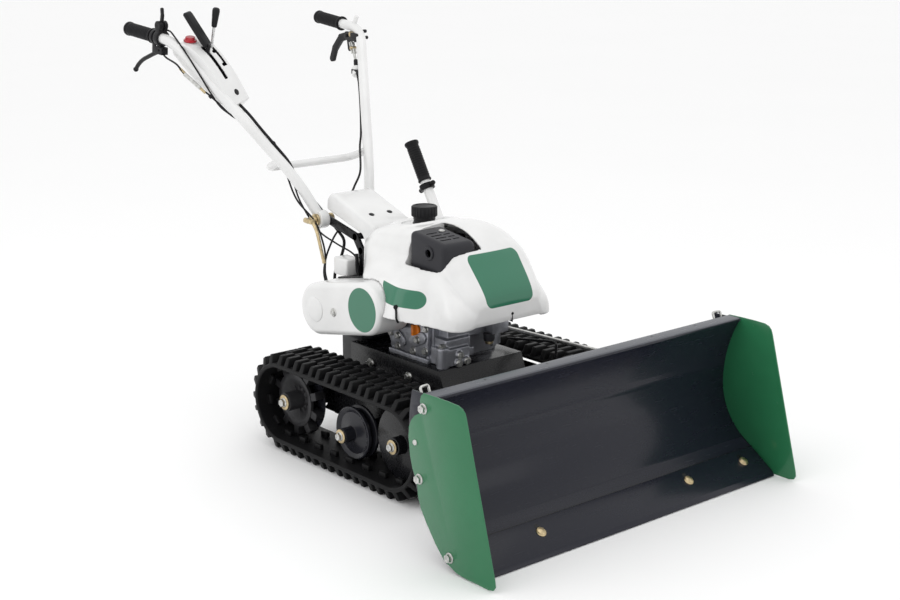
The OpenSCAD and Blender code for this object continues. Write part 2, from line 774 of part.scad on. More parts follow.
// Handle bracket: two bent cheeks from the transmission to the handle pivots
module handle_bracket() {
    bends = [[tube_foot.y, tube_foot.z], [186, 458], [140, 425], [128, input_z1 + 20]];
    strap = 34;
    color([0.09, 0.09, 0.1]) {
        for (side = [-1, 1]) on_side(side) difference() {
            along_x(bracket_x0, bracket_x1) {
                for (i = [0:len(bends) - 2]) bar(bends[i], bends[i + 1], strap);
                translate([bends[3].x - 22, input_z1]) square([44, 24]);
                bar([212, 470], [218, 512], 22);
            }
            rod_x(tube_foot.y, tube_foot.z, stud_d + 2 * fit, bracket_x0 - 1, bracket_x1 + 1);
        }
        rod_x(186, 458, 22, -bracket_x0 - 1, bracket_x0 + 1);
    }
}

// Handle tubes, from the grip end to the pivot eye
function handle_path() = rounded_path([tube_top, tube_bend, tube_knee, tube_foot], [45, 60], 8);

module handle_tube(side) {
    color([0.95, 0.95, 0.94]) on_side(side) {
        difference() {
            union() {
                sweep(handle_path(), tube_d, tube_sides, [1, 0, 0]);
                rod_x(tube_foot.y, tube_foot.z, eye_d, eye_x0, eye_x1);
            }
            rod_x(tube_foot.y, tube_foot.z, stud_d + 2 * fit, eye_x0 - 15, eye_x1 + 15);
            rod_x(tube_foot.y, tube_foot.z, clamp_collar_d + 2, eye_x1, eye_x1 + 20);
        }
    }
}

module tube_room(side) {
    on_side(side) sweep(handle_path(), tube_d + 2 * touch_gap, tube_sides, [1, 0, 0]);
}

bar_end = [134, 356, 639];
bar_low = [116, 422, 613];
module crossbar() {
    path = rounded_path([bar_end, bar_low, mirror_x([bar_low])[0], mirror_x([bar_end])[0]], [34, 34], 7);
    color([0.95, 0.95, 0.94]) difference() {
        sweep(path, crossbar_d, 12, [0, 0.2, 1]);
        for (side = [-1, 1]) tube_room(side);
    }
}

module on_grip(side) {
    on_side(side) translate(tube_bend) rotate([grip_pitch, 0, grip_yaw]) children();
}

module along_tube() {
    rotate([-90, 0, 0]) children();
}

module grip(side) {
    rib_count = 14;
    tube_end = norm(grip_dir);
    color([0.05, 0.05, 0.05]) on_grip(side) translate([0, grip_start, 0]) along_tube() difference() {
        union() {
            cylinder(d = grip_d, h = grip_l);
            cylinder(d = grip_d + 7, h = 5);
            translate([0, 0, grip_l - 7]) cylinder(d = grip_d + 4, h = 7);
            for (i = [0:rib_count - 1]) translate([0, 0, 14 + i * 6]) cylinder(d = grip_d + 1.6, h = 3);
        }
        translate([0, 0, -1]) cylinder(d = tube_d + 2 * touch_gap, h = tube_end - grip_start + 1 + touch_gap);
    }
}

// Throttle: clamp ring with a small gear housing and a thumb lever on top
throttle_y = 46;
throttle_w = 16;
throttle_pivot_z = 30;
throttle_slot = 7;
module throttle_housing() {
    color([0.05, 0.05, 0.05]) on_grip(-1) difference() {
        union() {
            translate([0, throttle_y, 0]) along_tube() cylinder(d = tube_d + 14, h = throttle_w);
            translate([-12, throttle_y, 12]) cube([24, throttle_w, throttle_pivot_z - 4]);
            translate([-12, throttle_y + throttle_w / 2, throttle_pivot_z]) rotate([0, 90, 0])
                cylinder(d = throttle_w + 8, h = 24);
        }
        translate([0, throttle_y - 30, 0]) along_tube() cylinder(d = tube_d + 2 * touch_gap, h = 90);
        translate([-throttle_slot / 2, throttle_y - 20, throttle_pivot_z - 11]) cube([throttle_slot, 60, 50]);
        translate([-20, throttle_y + throttle_w / 2, throttle_pivot_z]) rotate([0, 90, 0])
            cylinder(d = 6 + 2 * fit, h = 40);
    }
}

module throttle_lever() {
    w = throttle_slot - 2 * run_gap;
    color([0.05, 0.05, 0.05]) on_grip(-1) translate([0, throttle_y + throttle_w / 2, throttle_pivot_z]) {
        translate([-w / 2, 0, 0]) rotate([90, 0, 90]) linear_extrude(w) {
            circle(d = 18);
            bar([0, 0], [-4, 26], 9);
            bar([-4, 26], [-2, 40], 8);
        }
        translate([-12, 0, 0]) rotate([0, 90, 0]) cylinder(d = 6, h = 24);
    }
}

// Side clutch: clamp ring, bracket and a squeeze lever below the right grip
side_y = 70;
side_w = 10;
side_pivot = [50, -29];
side_slot = 9;
module side_clutch_bracket() {
    color([0.05, 0.05, 0.05]) on_grip(-1) difference() {
        union() {
            translate([0, side_y, 0]) along_tube() cylinder(d = tube_d + 12, h = side_w);
            block([-9, side_pivot.x - 12, side_pivot.y - 10], [9, side_y + side_w, side_pivot.y + 8]);
            block([-9, side_y - 2, side_pivot.y], [9, side_y + side_w, side_pivot.y + 18]);
        }
        translate([0, side_y - 40, 0]) along_tube() cylinder(d = tube_d + 2 * touch_gap, h = 80);
        translate([-side_slot / 2, side_pivot.x - 9, side_pivot.y - 11]) cube([side_slot, 40, 24]);
        translate([-20, side_pivot.x, side_pivot.y]) rotate([0, 90, 0]) cylinder(d = 6 + 2 * fit, h = 40);
    }
}

module side_clutch_lever() {
    w = side_slot - 2 * run_gap;
    route = [side_pivot, [75, -47], [120, -64], [168, -82]];
    color([0.05, 0.05, 0.05]) on_grip(-1) {
        translate([-w / 2, 0, 0]) rotate([90, 0, 90]) linear_extrude(w) {
            bar(route[0], route[1], 13);
            bar(route[1], route[2], 11);
            bar(route[2], route[3], 10);
            translate(route[3]) circle(d = 14);
        }
        translate([-9, side_pivot.x, side_pivot.y]) rotate([0, 90, 0]) cylinder(d = 6, h = 18);
    }
}

// Main clutch: cheeks on the left tube, a lever behind it and the cable stop below
clutch_x = 268;
clutch_pivot = [606, 900];
clutch_slot = 10;
clutch_pin = 8;
stop_low = [230, 528, 808];
module clutch_bracket() {
    cheek = 4;
    color([0.07, 0.07, 0.07]) difference() {
        union() {
            for (x = [clutch_x - clutch_slot / 2 - cheek, clutch_x + clutch_slot / 2])
                along_x(x, x + cheek) bar([566, 897], clutch_pivot, 22);
            along_x(clutch_x - clutch_slot / 2 - 1, clutch_x + clutch_slot / 2 + 1)
                bar([574, 888], [576, 902], 8);
            block([stop_low.x - 8, stop_low.y - 34, stop_low.z],
                [stop_low.x + 8, stop_low.y + 10, stop_low.z + 12]);
        }
        tube_room(1);
        rod_x(clutch_pivot.x, clutch_pivot.y, clutch_pin + 2 * fit, clutch_x - 20, clutch_x + 20);
    }
}

module clutch_lever() {
    w = clutch_slot - 2 * run_gap;
    color([0.05, 0.05, 0.05]) {
        along_x(clutch_x - w / 2, clutch_x + w / 2) {
            bar(clutch_pivot, [640, 892], 20);
            bar([640, 892], [668, 862], 18);
            bar([668, 862], [680, 834], 17);
            bar(clutch_pivot, [600, 866], 14);
        }
        rod_x(clutch_pivot.x, clutch_pivot.y, clutch_pin, clutch_x - 12, clutch_x + 12);
    }
}

// Console beside the right tube. Its X runs inward, its Y up the tube and its Z out of its top
module on_console() {
    translate([-tube_bend.x, tube_bend.y, tube_bend.z]) rotate([down_pitch, 0, down_yaw])
        translate([console_x0 + console_w / 2, 0, 0]) rotate([0, -console_tilt, 0])
            translate([-console_w / 2, 0, 0]) children();
}

// An outline in the console's Y and Z, given its width along X
module across_console(x0, x1) {
    translate([x0, 0, 0]) rotate([90, 0, 90]) linear_extrude(x1 - x0) children();
}

module console() {
    foot_l = 30;
    color([0.95, 0.95, 0.94]) difference() {
        on_console() difference() {
            union() {
                difference() {
                    across_console(0, console_w) polygon(console_profile);
                    across_console(shell_t, console_w - shell_t)
                        offset(delta = -shell_t) polygon(console_profile);
                }
                across_console(0, console_w) translate(lever_pin) circle(d = lever_pin_size);
                for (y = [-185, -70]) translate([-9, y, -14]) cube([11, foot_l, 20]);
            }
            translate([speed_x - lever_w / 2 - run_gap, -144, 10]) cube([lever_w + 2 * run_gap, 92, 60]);
            translate([shift_x - 6, -92, 10]) cube([12, 46, 60]);
            on_button() translate([0, 0, -20]) cylinder(d = stem_d + 2 * fit, h = 40);
        }
        tube_room(-1);
    }
}

// The two levers turn on one pin inside the console
lever_pin = [-95, -10];
lever_pin_size = 8;
lever_w = 8;
speed_x = 20;
shift_x = 46;
button_x = 14;
button_y = -24;
button_z = 27;
button_turn = 38;
stem_d = 10;
button_travel = 4;
module speed_lever() {
    paddle_w = 24;
    color([0.05, 0.05, 0.05]) on_console() difference() {
        union() {
            across_console(speed_x - lever_w / 2, speed_x + lever_w / 2) {
                translate(lever_pin) circle(d = 20);
                bar(lever_pin, [-64, 54], 10);
            }
            across_console(speed_x - paddle_w / 2, speed_x + paddle_w / 2) bar([-58, 56], [34, 74], 11);
        }
        across_console(-1, console_w + 1) translate(lever_pin) circle(d = lever_pin_size + 2 * fit);
    }
}

module shift_lever() {
    reach = 156;
    knob_l = 46;
    tilt = 34.8;
    color([0.6, 0.6, 0.62]) on_console() difference() {
        union() {
            across_console(shift_x - 4, shift_x + 4) translate(lever_pin) circle(d = 18);
            translate([shift_x, lever_pin.x, lever_pin.y]) rotate([-tilt, 0, 0]) {
                cylinder(d = 7, h = reach - knob_l + 1);
                translate([0, 0, reach - knob_l]) cylinder(d1 = 13, d2 = 19, h = knob_l - 5);
                translate([0, 0, reach - 5]) cylinder(d = 19, h = 5);
            }
        }
        across_console(-1, console_w + 1) translate(lever_pin) circle(d = lever_pin_size + 2 * fit);
    }
}

module on_button() {
    translate([button_x, button_y, button_z]) rotate([-button_turn, 0, 0]) children();
}

module stop_button() {
    cap_d = 20;
    color([0.75, 0.05, 0.08]) on_console() on_button() {
        translate([0, 0, -9]) cylinder(d = stem_d, h = 15);
        translate([0, 0, button_travel + 1]) cylinder(d = cap_d, h = 8);
    }
}

// Cables, each a tube through the points of its route
function beside_tube(p, side) = let(
        down = unit(down_dir),
        flat = unit([down.x, down.y, 0]),
        inward = [flat.y, -flat.x, 0],
        out = cross(-down, inward),
        q = tube_bend - p[0] * down + p[1] * inward + p[2] * out)
    [side * q.x, q.y, q.z];
function route(pts, side) = [for (p = pts) len(p) == 4 ? beside_tube(p, side) : p];
function spline_point(a, b, c, d, t) = 0.5 * (2 * b + t * (c - a)
    + t * t * (2 * a - 5 * b + 4 * c - d) + t * t * t * (3 * b - a - 3 * c + d));
function spline(pts, steps) = let(last = len(pts) - 1) [
    for (i = [0:last - 1]) for (k = [0:steps - 1])
        spline_point(pts[max(i - 1, 0)], pts[i], pts[i + 1], pts[min(i + 2, last)], k / steps),
    pts[last]
];

module cable(pts) {
    sweep(spline(pts, 3), cable_d, 8, [1, 0.2, 0.1]);
}

module control_cables() {
    color([0.06, 0.06, 0.06]) {
        cable(route(side_route, -1));
        cable(route(console_route, -1));
        cable(route(throttle_route, -1));
        cable(route(clutch_route, 1));
    }
}

module lower_cables() {
    color([0.06, 0.06, 0.06]) {
        cable(lower_route);
        cable(mirror_x(lower_route));
    }
}

// Handle clamps: a stud through the pivot eye with a cross bar and a bent rod handle
clamp_rod_d = 8;
module handle_clamp(side) {
    cross_x = eye_x1 + 24;
    low = [cross_x, 216, 407];
    color([0.78, 0.6, 0.32]) on_side(side) {
        rod_x(tube_foot.y, tube_foot.z, stud_d, bracket_x0 - 10, cross_x + 5);
        rod_x(tube_foot.y, tube_foot.z, stud_d + 12, bracket_x0 - 10, bracket_x0 - touch_gap);
        rod_x(tube_foot.y, tube_foot.z, clamp_collar_d, eye_x1 + touch_gap, eye_x1 + 6);
        rod_x(tube_foot.y, tube_foot.z, stud_d + 6, eye_x1 + 5, cross_x - 4);
        translate([cross_x, tube_foot.y - 20, tube_foot.z]) rotate([-90, 0, 0]) cylinder(d = 13, h = 34);
        sweep(rounded_path([
            [cross_x, tube_foot.y - 14, tube_foot.z], [cross_x, 244, 484], low
        ], [14], 5), clamp_rod_d, 12, [1, 0, 0]);
    }
}

// Blade lift: lever, grip and rod
module on_lever() {
    translate([lever_x, lever_y, lever_z]) rotate([-lever_tilt, 0, 0]) children();
}

lift_grip_l = 104;
module lift_lever() {
    plate_w = 34;
    color([0.93, 0.93, 0.92]) {
        difference() {
            on_lever() {
                translate([-lever_plate_t / 2, -plate_w / 2, -18]) cube([lever_plate_t, plate_w, 172]);
                translate([0, 0, 130]) cylinder(d = lever_d, h = lever_l - 136);
            }
            rod_x(lever_y, lever_z, lever_pin_d + 2 * fit, lever_x - 30, lever_x + 30);
        }
        rod_x(rod_rear.x, rod_rear.y, rod_pin_d, lever_x + lever_plate_t / 2 - 1, rod_x + rod_eye_t / 2 + 3);
    }
}

module lift_grip() {
    collar_z = lever_l - lift_grip_l - 22;
    color([0.05, 0.05, 0.05]) on_lever() {
        difference() {
            union() {
                translate([0, 0, lever_l - lift_grip_l]) cylinder(d = lever_d + 6, h = lift_grip_l);
                translate([0, 0, lever_l - 8]) cylinder(d = lever_d + 11, h = 8);
                translate([0, 0, lever_l - lift_grip_l]) cylinder(d = lever_d + 9, h = 5);
            }
            translate([0, 0, lever_l - lift_grip_l - 1])
                cylinder(d = lever_d + 2 * fit, h = lift_grip_l - 5 + fit);
        }
        translate([0, 0, collar_z]) difference() {
            union() {
                cylinder(d = lever_d + 12, h = 14);
                translate([-6, -30, 1]) cube([12, 60, 12]);
            }
            translate([0, 0, -1]) cylinder(d = lever_d + 2 * fit, h = 20);
        }
    }
}

module lift_rod() {
    run = rod_front - rod_rear;
    eye_d = rod_pin_d + 12;
    color([0.75, 0.76, 0.77]) difference() {
        union() {
            translate([rod_x, rod_rear.x, rod_rear.y]) rotate([atan2(-run.x, run.y), 0, 0])
                cylinder(d = rod_d, h = norm(run));
            rod_x(rod_rear.x, rod_rear.y, eye_d, rod_x - rod_eye_t / 2 + 1, rod_x + rod_eye_t / 2 - 1);
            rod_x(rod_front.x, rod_front.y, eye_d - 4, rod_x - rod_eye_t / 2 + 1, rod_x + rod_eye_t / 2 - 1);
            rod_x(rod_front.x, rod_front.y, rod_d, rod_x - rod_eye_t / 2 - ear_t - 3,
                rod_x + rod_eye_t / 2 + ear_t + 3);
        }
        rod_x(rod_rear.x, rod_rear.y, rod_pin_d + 2 * fit, rod_x - 20, rod_x + 20);
    }
}

// Blade: outline pieces in Y and Z
module wedge(c, a0, a1) {
    far = 600;
    polygon([c, c + far * [cos(a0), sin(a0)], c + far * [cos(a1), sin(a1)]]);
}

module ring_part(c, r, t, a0, a1) {
    intersection() {
        difference() {
            translate(c) circle(r + t, $fn = 128);
            translate(c) circle(r, $fn = 128);
        }
        wedge(c, a0, a1);
    }
}

module flat_strip(s0, s1, t0, t1) {
    corners = [[s0, t0], [s1, t0], [s1, t1], [s0, t1]];
    polygon([for (p = corners) flat_start + p.x * flat_dir + p.y * flat_out]);
}

module front_space() {
    far = 400;
    intersection() {
        translate(upper_c) circle(upper_r, $fn = 128);
        translate([bend_y - far, bend_z - 0.01]) square([far, far]);
    }
    translate(lower_c) circle(lower_r, $fn = 128);
    flat_strip(-0.01, 200, -far, 0);
    translate([lower_c.x - far, -far]) square([far, far + bend_z]);
}

module bolt_on_edge(x) {
    p = flat_start + edge_bolt_s * flat_dir;
    translate([x, p.x, p.y]) rotate([90 - edge_turn, 0, 0]) children();
}

edge_bolt_s = 62;
bolt_d = 10;
rib_low = 12;
rib_back_y = -519;
module bolt_holes() {
    for (p = plate_bolts) translate(p) circle(d = bolt_d + 2 * fit);
    translate(plate_screw) circle(d = screw_d + 2 * fit);
}

module mouldboard() {
    top_turn = asin((blade_top - bend_z) / upper_r);
    top = upper_c + upper_r * [cos(top_turn), sin(top_turn)];
    color([0.13, 0.14, 0.19]) difference() {
        union() {
            along_x(-rib_x, rib_x) {
                ring_part(upper_c, upper_r, blade_t, 0, top_turn);
                ring_part(lower_c, lower_r, blade_t, -edge_turn, 0);
                flat_strip(0, flat_l, 0, blade_t);
                translate(top - [0.5, blade_t]) square([lip_w, blade_t]);
            }
            for (side = [-1, 1]) on_side(side) along_x(rib_x, rib_x + plate_t) difference() {
                intersection() {
                    translate(plate_c) circle(plate_r + 3, $fn = 128);
                    translate([-720, rib_low]) square([720 + rib_back_y, blade_top - rib_low]);
                }
                front_space();
                bolt_holes();
            }
        }
        for (x = edge_bolts_x) bolt_on_edge(x) translate([0, 0, -20]) cylinder(d = bolt_d + 2 * fit, h = 40);
    }
}

module cutting_edge() {
    color([0.12, 0.13, 0.17]) difference() {
        along_x(2 - rib_x, rib_x - 2) flat_strip(edge_start, edge_start + edge_w, -edge_t, 0);
        for (x = edge_bolts_x) bolt_on_edge(x) translate([0, 0, -20]) cylinder(d = bolt_d + 2 * fit, h = 40);
    }
}

module side_plate(side) {
    color([0.16, 0.46, 0.29]) on_side(side) along_x(plate_out - plate_t, plate_out) difference() {
        intersection() {
            translate(plate_c) circle(plate_r, $fn = 128);
            polygon([
                [plate_tip_y, plate_low], [plate_tip_y, plate_low + 8], [-689, plate_top - 14],
                [-678, plate_top], [-576, plate_top], [-560, 326], [-528, 288], [-500, 288],
                [-500, plate_low]
            ]);
        }
        bolt_holes();
    }
}

module push_frame() {
    tie = [-520, 150];
    arm_end = [-552, 150];
    color([0.1, 0.1, 0.11]) difference() {
        union() {
            for (side = [-1, 1]) on_side(side) along_x(arm_x0, arm_x0 + arm_t) {
                bar([pivot_y, pivot_z], [-400, 128], arm_w);
                bar([-400, 128], arm_end, arm_w);
            }
            rod_x(tie.x, tie.y, 40, -arm_x0 - arm_t, rod_x + rod_eye_t / 2 + ear_t);
            for (x = [rod_x - rod_eye_t / 2 - ear_t, rod_x + rod_eye_t / 2]) along_x(x, x + ear_t)
                bar(tie, rod_front, 28);
        }
        for (side = [-1, 1]) on_side(side)
            rod_x(pivot_y, pivot_z, pivot_d + 2 * fit, arm_x0 - 1, arm_x0 + arm_t + 1);
        rod_x(rod_front.x, rod_front.y, rod_d + 2 * pin_room, rod_x - 30, rod_x + 30);
        along_x(-rib_x, rib_x) {
            translate(lower_c) circle(lower_r + blade_t + touch_gap, $fn = 128);
            translate([upper_c.x, bend_z]) square([upper_r + blade_t + touch_gap - 0.01, 4]);
        }
        along_x(-rib_x, rib_x) intersection() {
            translate(upper_c) circle(upper_r + blade_t + touch_gap, $fn = 128);
            translate([-900, bend_z]) square([400, 300]);
        }
    }
}

// Fasteners, in groups of like pieces
module blade_bolts() {
    color([0.8, 0.8, 0.78]) {
        for (side = [-1, 1]) on_side(side) {
            for (p = plate_bolts) translate([plate_out, p.x, p.y]) rotate([0, 90, 0]) {
                translate([0, 0, -2 * plate_t]) cylinder(d = bolt_d, h = 2 * plate_t + 1);
                bolt_head(bolt_d);
            }
            translate([plate_out, plate_screw.x, plate_screw.y]) rotate([0, 90, 0]) {
                translate([0, 0, -2 * plate_t]) cylinder(d = screw_d, h = 2 * plate_t + 1);
                cylinder(d = 2 * screw_d, h = 3);
            }
        }
        for (x = edge_bolts_x) bolt_on_edge(x) {
            translate([0, 0, -blade_t]) cylinder(d = bolt_d, h = blade_t + edge_t + 1);
            translate([0, 0, edge_t]) cylinder(d = 2.2 * bolt_d, h = 2);
            translate([0, 0, edge_t + 2]) cylinder(d1 = 2.2 * bolt_d, d2 = bolt_d, h = 3);
            translate([0, 0, -blade_t - 8]) cylinder(d = 1.7 * bolt_d, h = 8, $fn = 6);
        }
    }
}

module frame_bolts() {
    color([0.8, 0.78, 0.7]) {
        for (side = [-1, 1]) on_side(side) {
            for (p = [[front_axle_y, wheel_z], [roller_y, roller_z]])
                translate([axle_end, p.x, p.y]) rotate([0, 90, 0]) {
                    cylinder(d = hub_r * 2 - 4, h = 3);
                    translate([0, 0, 3]) bolt_head(10);
                }
            for (y = [-120, 20]) translate([chassis_x, y, deck_z - 37]) rotate([0, 90, 0]) bolt_head(10);
            translate([pivot_end, pivot_y, pivot_z]) rotate([0, 90, 0]) cylinder(d = pivot_d + 2, h = 3);
        }
        for (x = [crankcase_x0 - 3, crankcase_x1 + 3], y = [crankcase_y0 + 30, crankcase_y1 - 20])
            translate([x + (x < 0 ? -4 : 4), y, deck_z + flange_t]) cylinder(d = 8, h = 7, $fn = 6);
    }
}

module cover_screws() {
    color([0.75, 0.74, 0.7]) {
        translate([-cover_x, cover_screw.x, cover_screw.y]) rotate([0, -90, 0]) {
            translate([0, 0, -20]) cylinder(d = screw_d, h = 21);
            cylinder(d = 2.2 * screw_d, h = 4);
        }
        translate([0, hood_front_y, hood_screw_z]) rotate([90, 0, 0]) {
            translate([0, 0, -16]) cylinder(d = screw_d, h = 17);
            cylinder(d = 2.2 * screw_d, h = 3);
        }
    }
}

chassis_frame();
transmission_case();
track_frame(-1);  // track_frame_right
track_frame(1);  // track_frame_left
track_belt(-1);  // track_belt_right
track_belt(1);  // track_belt_left
engine_crankcase();
engine_cylinder();
recoil_housing();
fuel_tank();
carburettor();
muffler();
muffler_guard();
hood();
rear_hood();
belt_cover();
belt_plate();
drive_belt();
handle_bracket();
lower_cables();
frame_bolts();
cover_screws();
fuel_cap();
oil_cap();
pulley(crank_pulley_r, crankcase_x0 + 75, [crank_y, crank_z]);  // crank_pulley
pulley(driven_pulley_r, input_x0 + 75, [driven_y, driven_z]);  // driven_pulley
sprocket(-1);  // sprocket_right
sprocket(1);  // sprocket_left
idler(-1);  // idler_right
idler(1);  // idler_left
roller(-1);  // roller_right
roller(1);  // roller_left
handle_tube(-1);  // handle_tube_right
handle_tube(1);  // handle_tube_left
crossbar();
grip(-1);  // grip_right
grip(1);  // grip_left
console();
throttle_housing();
side_clutch_bracket();
clutch_bracket();
control_cables();
throttle_lever();
side_clutch_lever();
clutch_lever();
speed_lever();
shift_lever();
stop_button();
handle_clamp(-1);  // handle_clamp_right
handle_clamp(1);  // handle_clamp_left
lift_lever();
lift_grip();
lift_rod();
mouldboard();
cutting_edge();
side_plate(-1);  // side_plate_right
side_plate(1);  // side_plate_left
push_frame();
blade_bolts();
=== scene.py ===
import math

import bmesh
import bpy
from mathutils import Matrix, Vector


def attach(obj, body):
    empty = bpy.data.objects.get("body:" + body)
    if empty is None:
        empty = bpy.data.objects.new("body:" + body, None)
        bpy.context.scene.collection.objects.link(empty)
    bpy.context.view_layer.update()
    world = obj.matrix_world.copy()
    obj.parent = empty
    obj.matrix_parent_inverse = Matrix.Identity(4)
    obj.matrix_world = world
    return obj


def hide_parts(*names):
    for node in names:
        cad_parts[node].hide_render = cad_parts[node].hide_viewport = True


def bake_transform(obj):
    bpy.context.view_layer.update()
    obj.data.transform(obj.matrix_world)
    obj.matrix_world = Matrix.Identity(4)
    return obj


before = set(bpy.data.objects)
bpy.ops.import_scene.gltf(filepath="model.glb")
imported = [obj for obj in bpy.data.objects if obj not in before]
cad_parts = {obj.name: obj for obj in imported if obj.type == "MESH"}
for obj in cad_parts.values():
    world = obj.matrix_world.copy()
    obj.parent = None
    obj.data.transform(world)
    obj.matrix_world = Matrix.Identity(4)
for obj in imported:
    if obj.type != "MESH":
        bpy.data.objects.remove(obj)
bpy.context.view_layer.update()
MM = 0.001
SIDES = ((-1, "right"), (1, "left"))
UP = Vector((0, 0, 1))


# Shader tools
def operator(operation, swapped=False):
    """A method that adds a Math node for a value and another one."""
    def method(value, other=0.0):
        a, b = (other, value) if swapped else (value, other)
        return value.paint.add("ShaderNodeMath", {"operation": operation}, {0: a, 1: b})
    return method


class Value:
    """A socket of a material's nodes, used in plain arithmetic."""

    __add__, __radd__ = operator("ADD"), operator("ADD", True)
    __sub__, __rsub__ = operator("SUBTRACT"), operator("SUBTRACT", True)
    __mul__, __rmul__ = operator("MULTIPLY"), operator("MULTIPLY", True)
    __pow__, __abs__, higher = operator("POWER"), operator("ABSOLUTE"), operator("MAXIMUM")

    def __init__(self, paint, socket):
        self.paint = paint
        self.socket = socket

    def step(self, low, high):
        """0 below low, 1 above high, and a smooth rise between them."""
        return self.paint.add("ShaderNodeMapRange", {"interpolation_type": "SMOOTHSTEP"},
                              {0: self, 1: low, 2: high, 3: 0.0, 4: 1.0})


class Paint:
    """A material, and the one way that nodes are added to it."""

    def __init__(self, name):
        self.material = bpy.data.materials.new(name)
        self.material.use_nodes = True
        self.tree = self.material.node_tree
        self.shader = self.tree.nodes["Principled BSDF"]
        self.place = self.add("ShaderNodeTexCoord", out="Object")

    def feed(self, socket, value):
        if isinstance(value, Value):
            self.tree.links.new(value.socket, socket)
        else:
            socket.default_value = value

    def add(self, kind, settings=None, sockets=None, out=0):
        made = self.tree.nodes.new(kind)
        for key, value in (settings or {}).items():
            setattr(made, key, value)
        for key, value in (sockets or {}).items():
            self.feed(made.inputs[key], value)
        return Value(self, made.outputs[out])

    def set(self, **values):
        for key, value in values.items():
            self.feed(self.shader.inputs[key.replace("_", " ")], value)

    def axes(self):
        split = self.add("ShaderNodeSeparateXYZ", sockets={0: self.place}).socket.node
        return [Value(self, output) for output in split.outputs]

    def stretched(self, scale):
        return self.add("ShaderNodeMapping", sockets={"Vector": self.place, "Scale": scale})

    def noise(self, scale, detail=3.0, rough=0.55, place=None):
        return self.add("ShaderNodeTexNoise", sockets={
            "Vector": place or self.place, "Scale": scale, "Detail": detail, "Roughness": rough})

    def cells(self, scale):
        sockets = {"Vector": self.place, "Scale": scale}
        return self.add("ShaderNodeTexVoronoi", sockets=sockets, out="Distance")

    def mix(self, factor, a, b):
        return self.add("ShaderNodeMix", {"data_type": "RGBA"}, {0: factor, 6: a, 7: b}, 2)

    def bump(self, height, strength, distance):
        self.set(Normal=self.add("ShaderNodeBump", sockets={
            "Strength": strength, "Distance": distance, "Height": height}))
        return self


def rgb(r, g, b):
    return (r, g, b, 1.0)


def shaded(color, share):
    return rgb(*(min(c * share, 1.0) for c in color[:3]))


# Finishes
def gloss_paint(name, color, rough, coat, scuff):
    """Smooth paint or moulding with faint unevenness, dust and scuffs."""
    p = Paint(name)
    cloud = p.noise(9.0, 4.0)
    speck = p.noise(260.0, 2.0)
    worn = (p.noise(38.0, 6.0, 0.7) - 0.62).step(0.0, 0.12) * scuff
    tone = p.mix(cloud.step(0.3, 0.75), shaded(color, 0.94), shaded(color, 1.03))
    p.set(Base_Color=p.mix(worn, tone, shaded(color, 0.72)), Coat_Weight=coat, Coat_Roughness=0.08,
          Roughness=cloud * 0.08 + worn * 0.6 + (rough - 0.04), Specular_IOR_Level=0.3)
    return p.bump(speck * 0.5 + cloud, 0.05, 0.0012)


def white_gloss(name):
    return gloss_paint(name, WHITE, 0.24, 0.45, 0.05)


def dark_paint(name, color, rough, streak):
    """Dark gloss paint with sliding marks and a little dry dust. The marks are rougher, and their lighter
    colour is painted reflection streaks.
    """
    p = Paint(name)
    drag_and_sheen = p.noise(30.0, 5.0, 0.6, p.stretched((0.5, 4.0, 4.0)))
    dust = p.noise(75.0, 6.0, 0.7)
    # Streaks: rougher like sliding marks, and lighter in colour as painted reflection streaks.
    marks = drag_and_sheen.step(0.56, 0.74) * streak
    tone = p.mix(dust.step(0.5, 0.85) * 0.15, color, rgb(0.05, 0.05, 0.053))
    p.set(Base_Color=p.mix(marks * 0.2, tone, shaded(color, 1.8)), Coat_Weight=0.1, Coat_Roughness=0.12,
          Roughness=marks * 0.12 + dust * 0.08 + (rough - 0.05), Specular_IOR_Level=0.25)
    return p.bump(p.noise(420.0, 2.0) * 0.6 + drag_and_sheen * 0.2, 0.035, 0.0006)


def moulded_plastic(name, color, rough, grain):
    """Fine-textured moulded plastic."""
    p = Paint(name)
    pores = p.cells(grain)
    cloud = p.noise(14.0, 4.0)
    rub = p.noise(60.0, 5.0, 0.65).step(0.55, 0.8)
    p.set(Base_Color=p.mix(rub * 0.4, shaded(color, 0.9), shaded(color, 1.5)),
          Roughness=rub * 0.12 + cloud * 0.1 + (rough - 0.08), Specular_IOR_Level=0.22)
    return p.bump(pores * 0.7 + cloud * 0.2, 0.22, 0.0006)


def rubber(name, color, rough, dusty):
    """Rubber with mould pores and dry dust in patches."""
    p = Paint(name)
    pores = p.noise(520.0, 3.0, 0.7)
    dust = p.noise(26.0, 6.0, 0.68).step(0.48, 0.8) * dusty
    p.set(Base_Color=p.mix(dust * 0.35, color, rgb(0.04, 0.039, 0.037)),
          Roughness=dust * 0.2 + pores * 0.12 + (rough - 0.06), Specular_IOR_Level=0.17)
    return p.bump(pores, 0.3, 0.0008)


def casting(name, color, rough, metal):
    """Sand-cast metal with grain and oily patches."""
    p = Paint(name)
    grain = p.noise(330.0, 5.0, 0.7)
    stain = p.noise(22.0, 5.0, 0.6).step(0.45, 0.75)
    p.set(Base_Color=p.mix(stain, shaded(color, 0.6), shaded(color, 1.1)), Metallic=metal,
          Roughness=grain * 0.25 + (rough - 0.1) - stain * 0.08)
    return p.bump(grain, 0.35, 0.0012)


def plated(name, color, rough):
    """Plated steel with a cloudy plating and fine turning marks."""
    p = Paint(name)
    cloud = p.noise(120.0, 4.0, 0.6)
    fine = p.noise(900.0, 3.0)
    p.set(Base_Color=p.mix(cloud.step(0.3, 0.75), shaded(color, 0.72), shaded(color, 1.12)), Metallic=1.0,
          Roughness=cloud * 0.2 + fine * 0.12 + (rough - 0.1))
    return p.bump(fine * 0.6 + cloud, 0.12, 0.0006)


WHITE = rgb(0.76, 0.76, 0.755)
GREEN = rgb(0.022, 0.155, 0.066)
PANEL_GREEN = rgb(0.03, 0.165, 0.095)
NAVY = rgb(0.0095, 0.0105, 0.0185)
BLACK = rgb(0.0065, 0.0065, 0.0078)

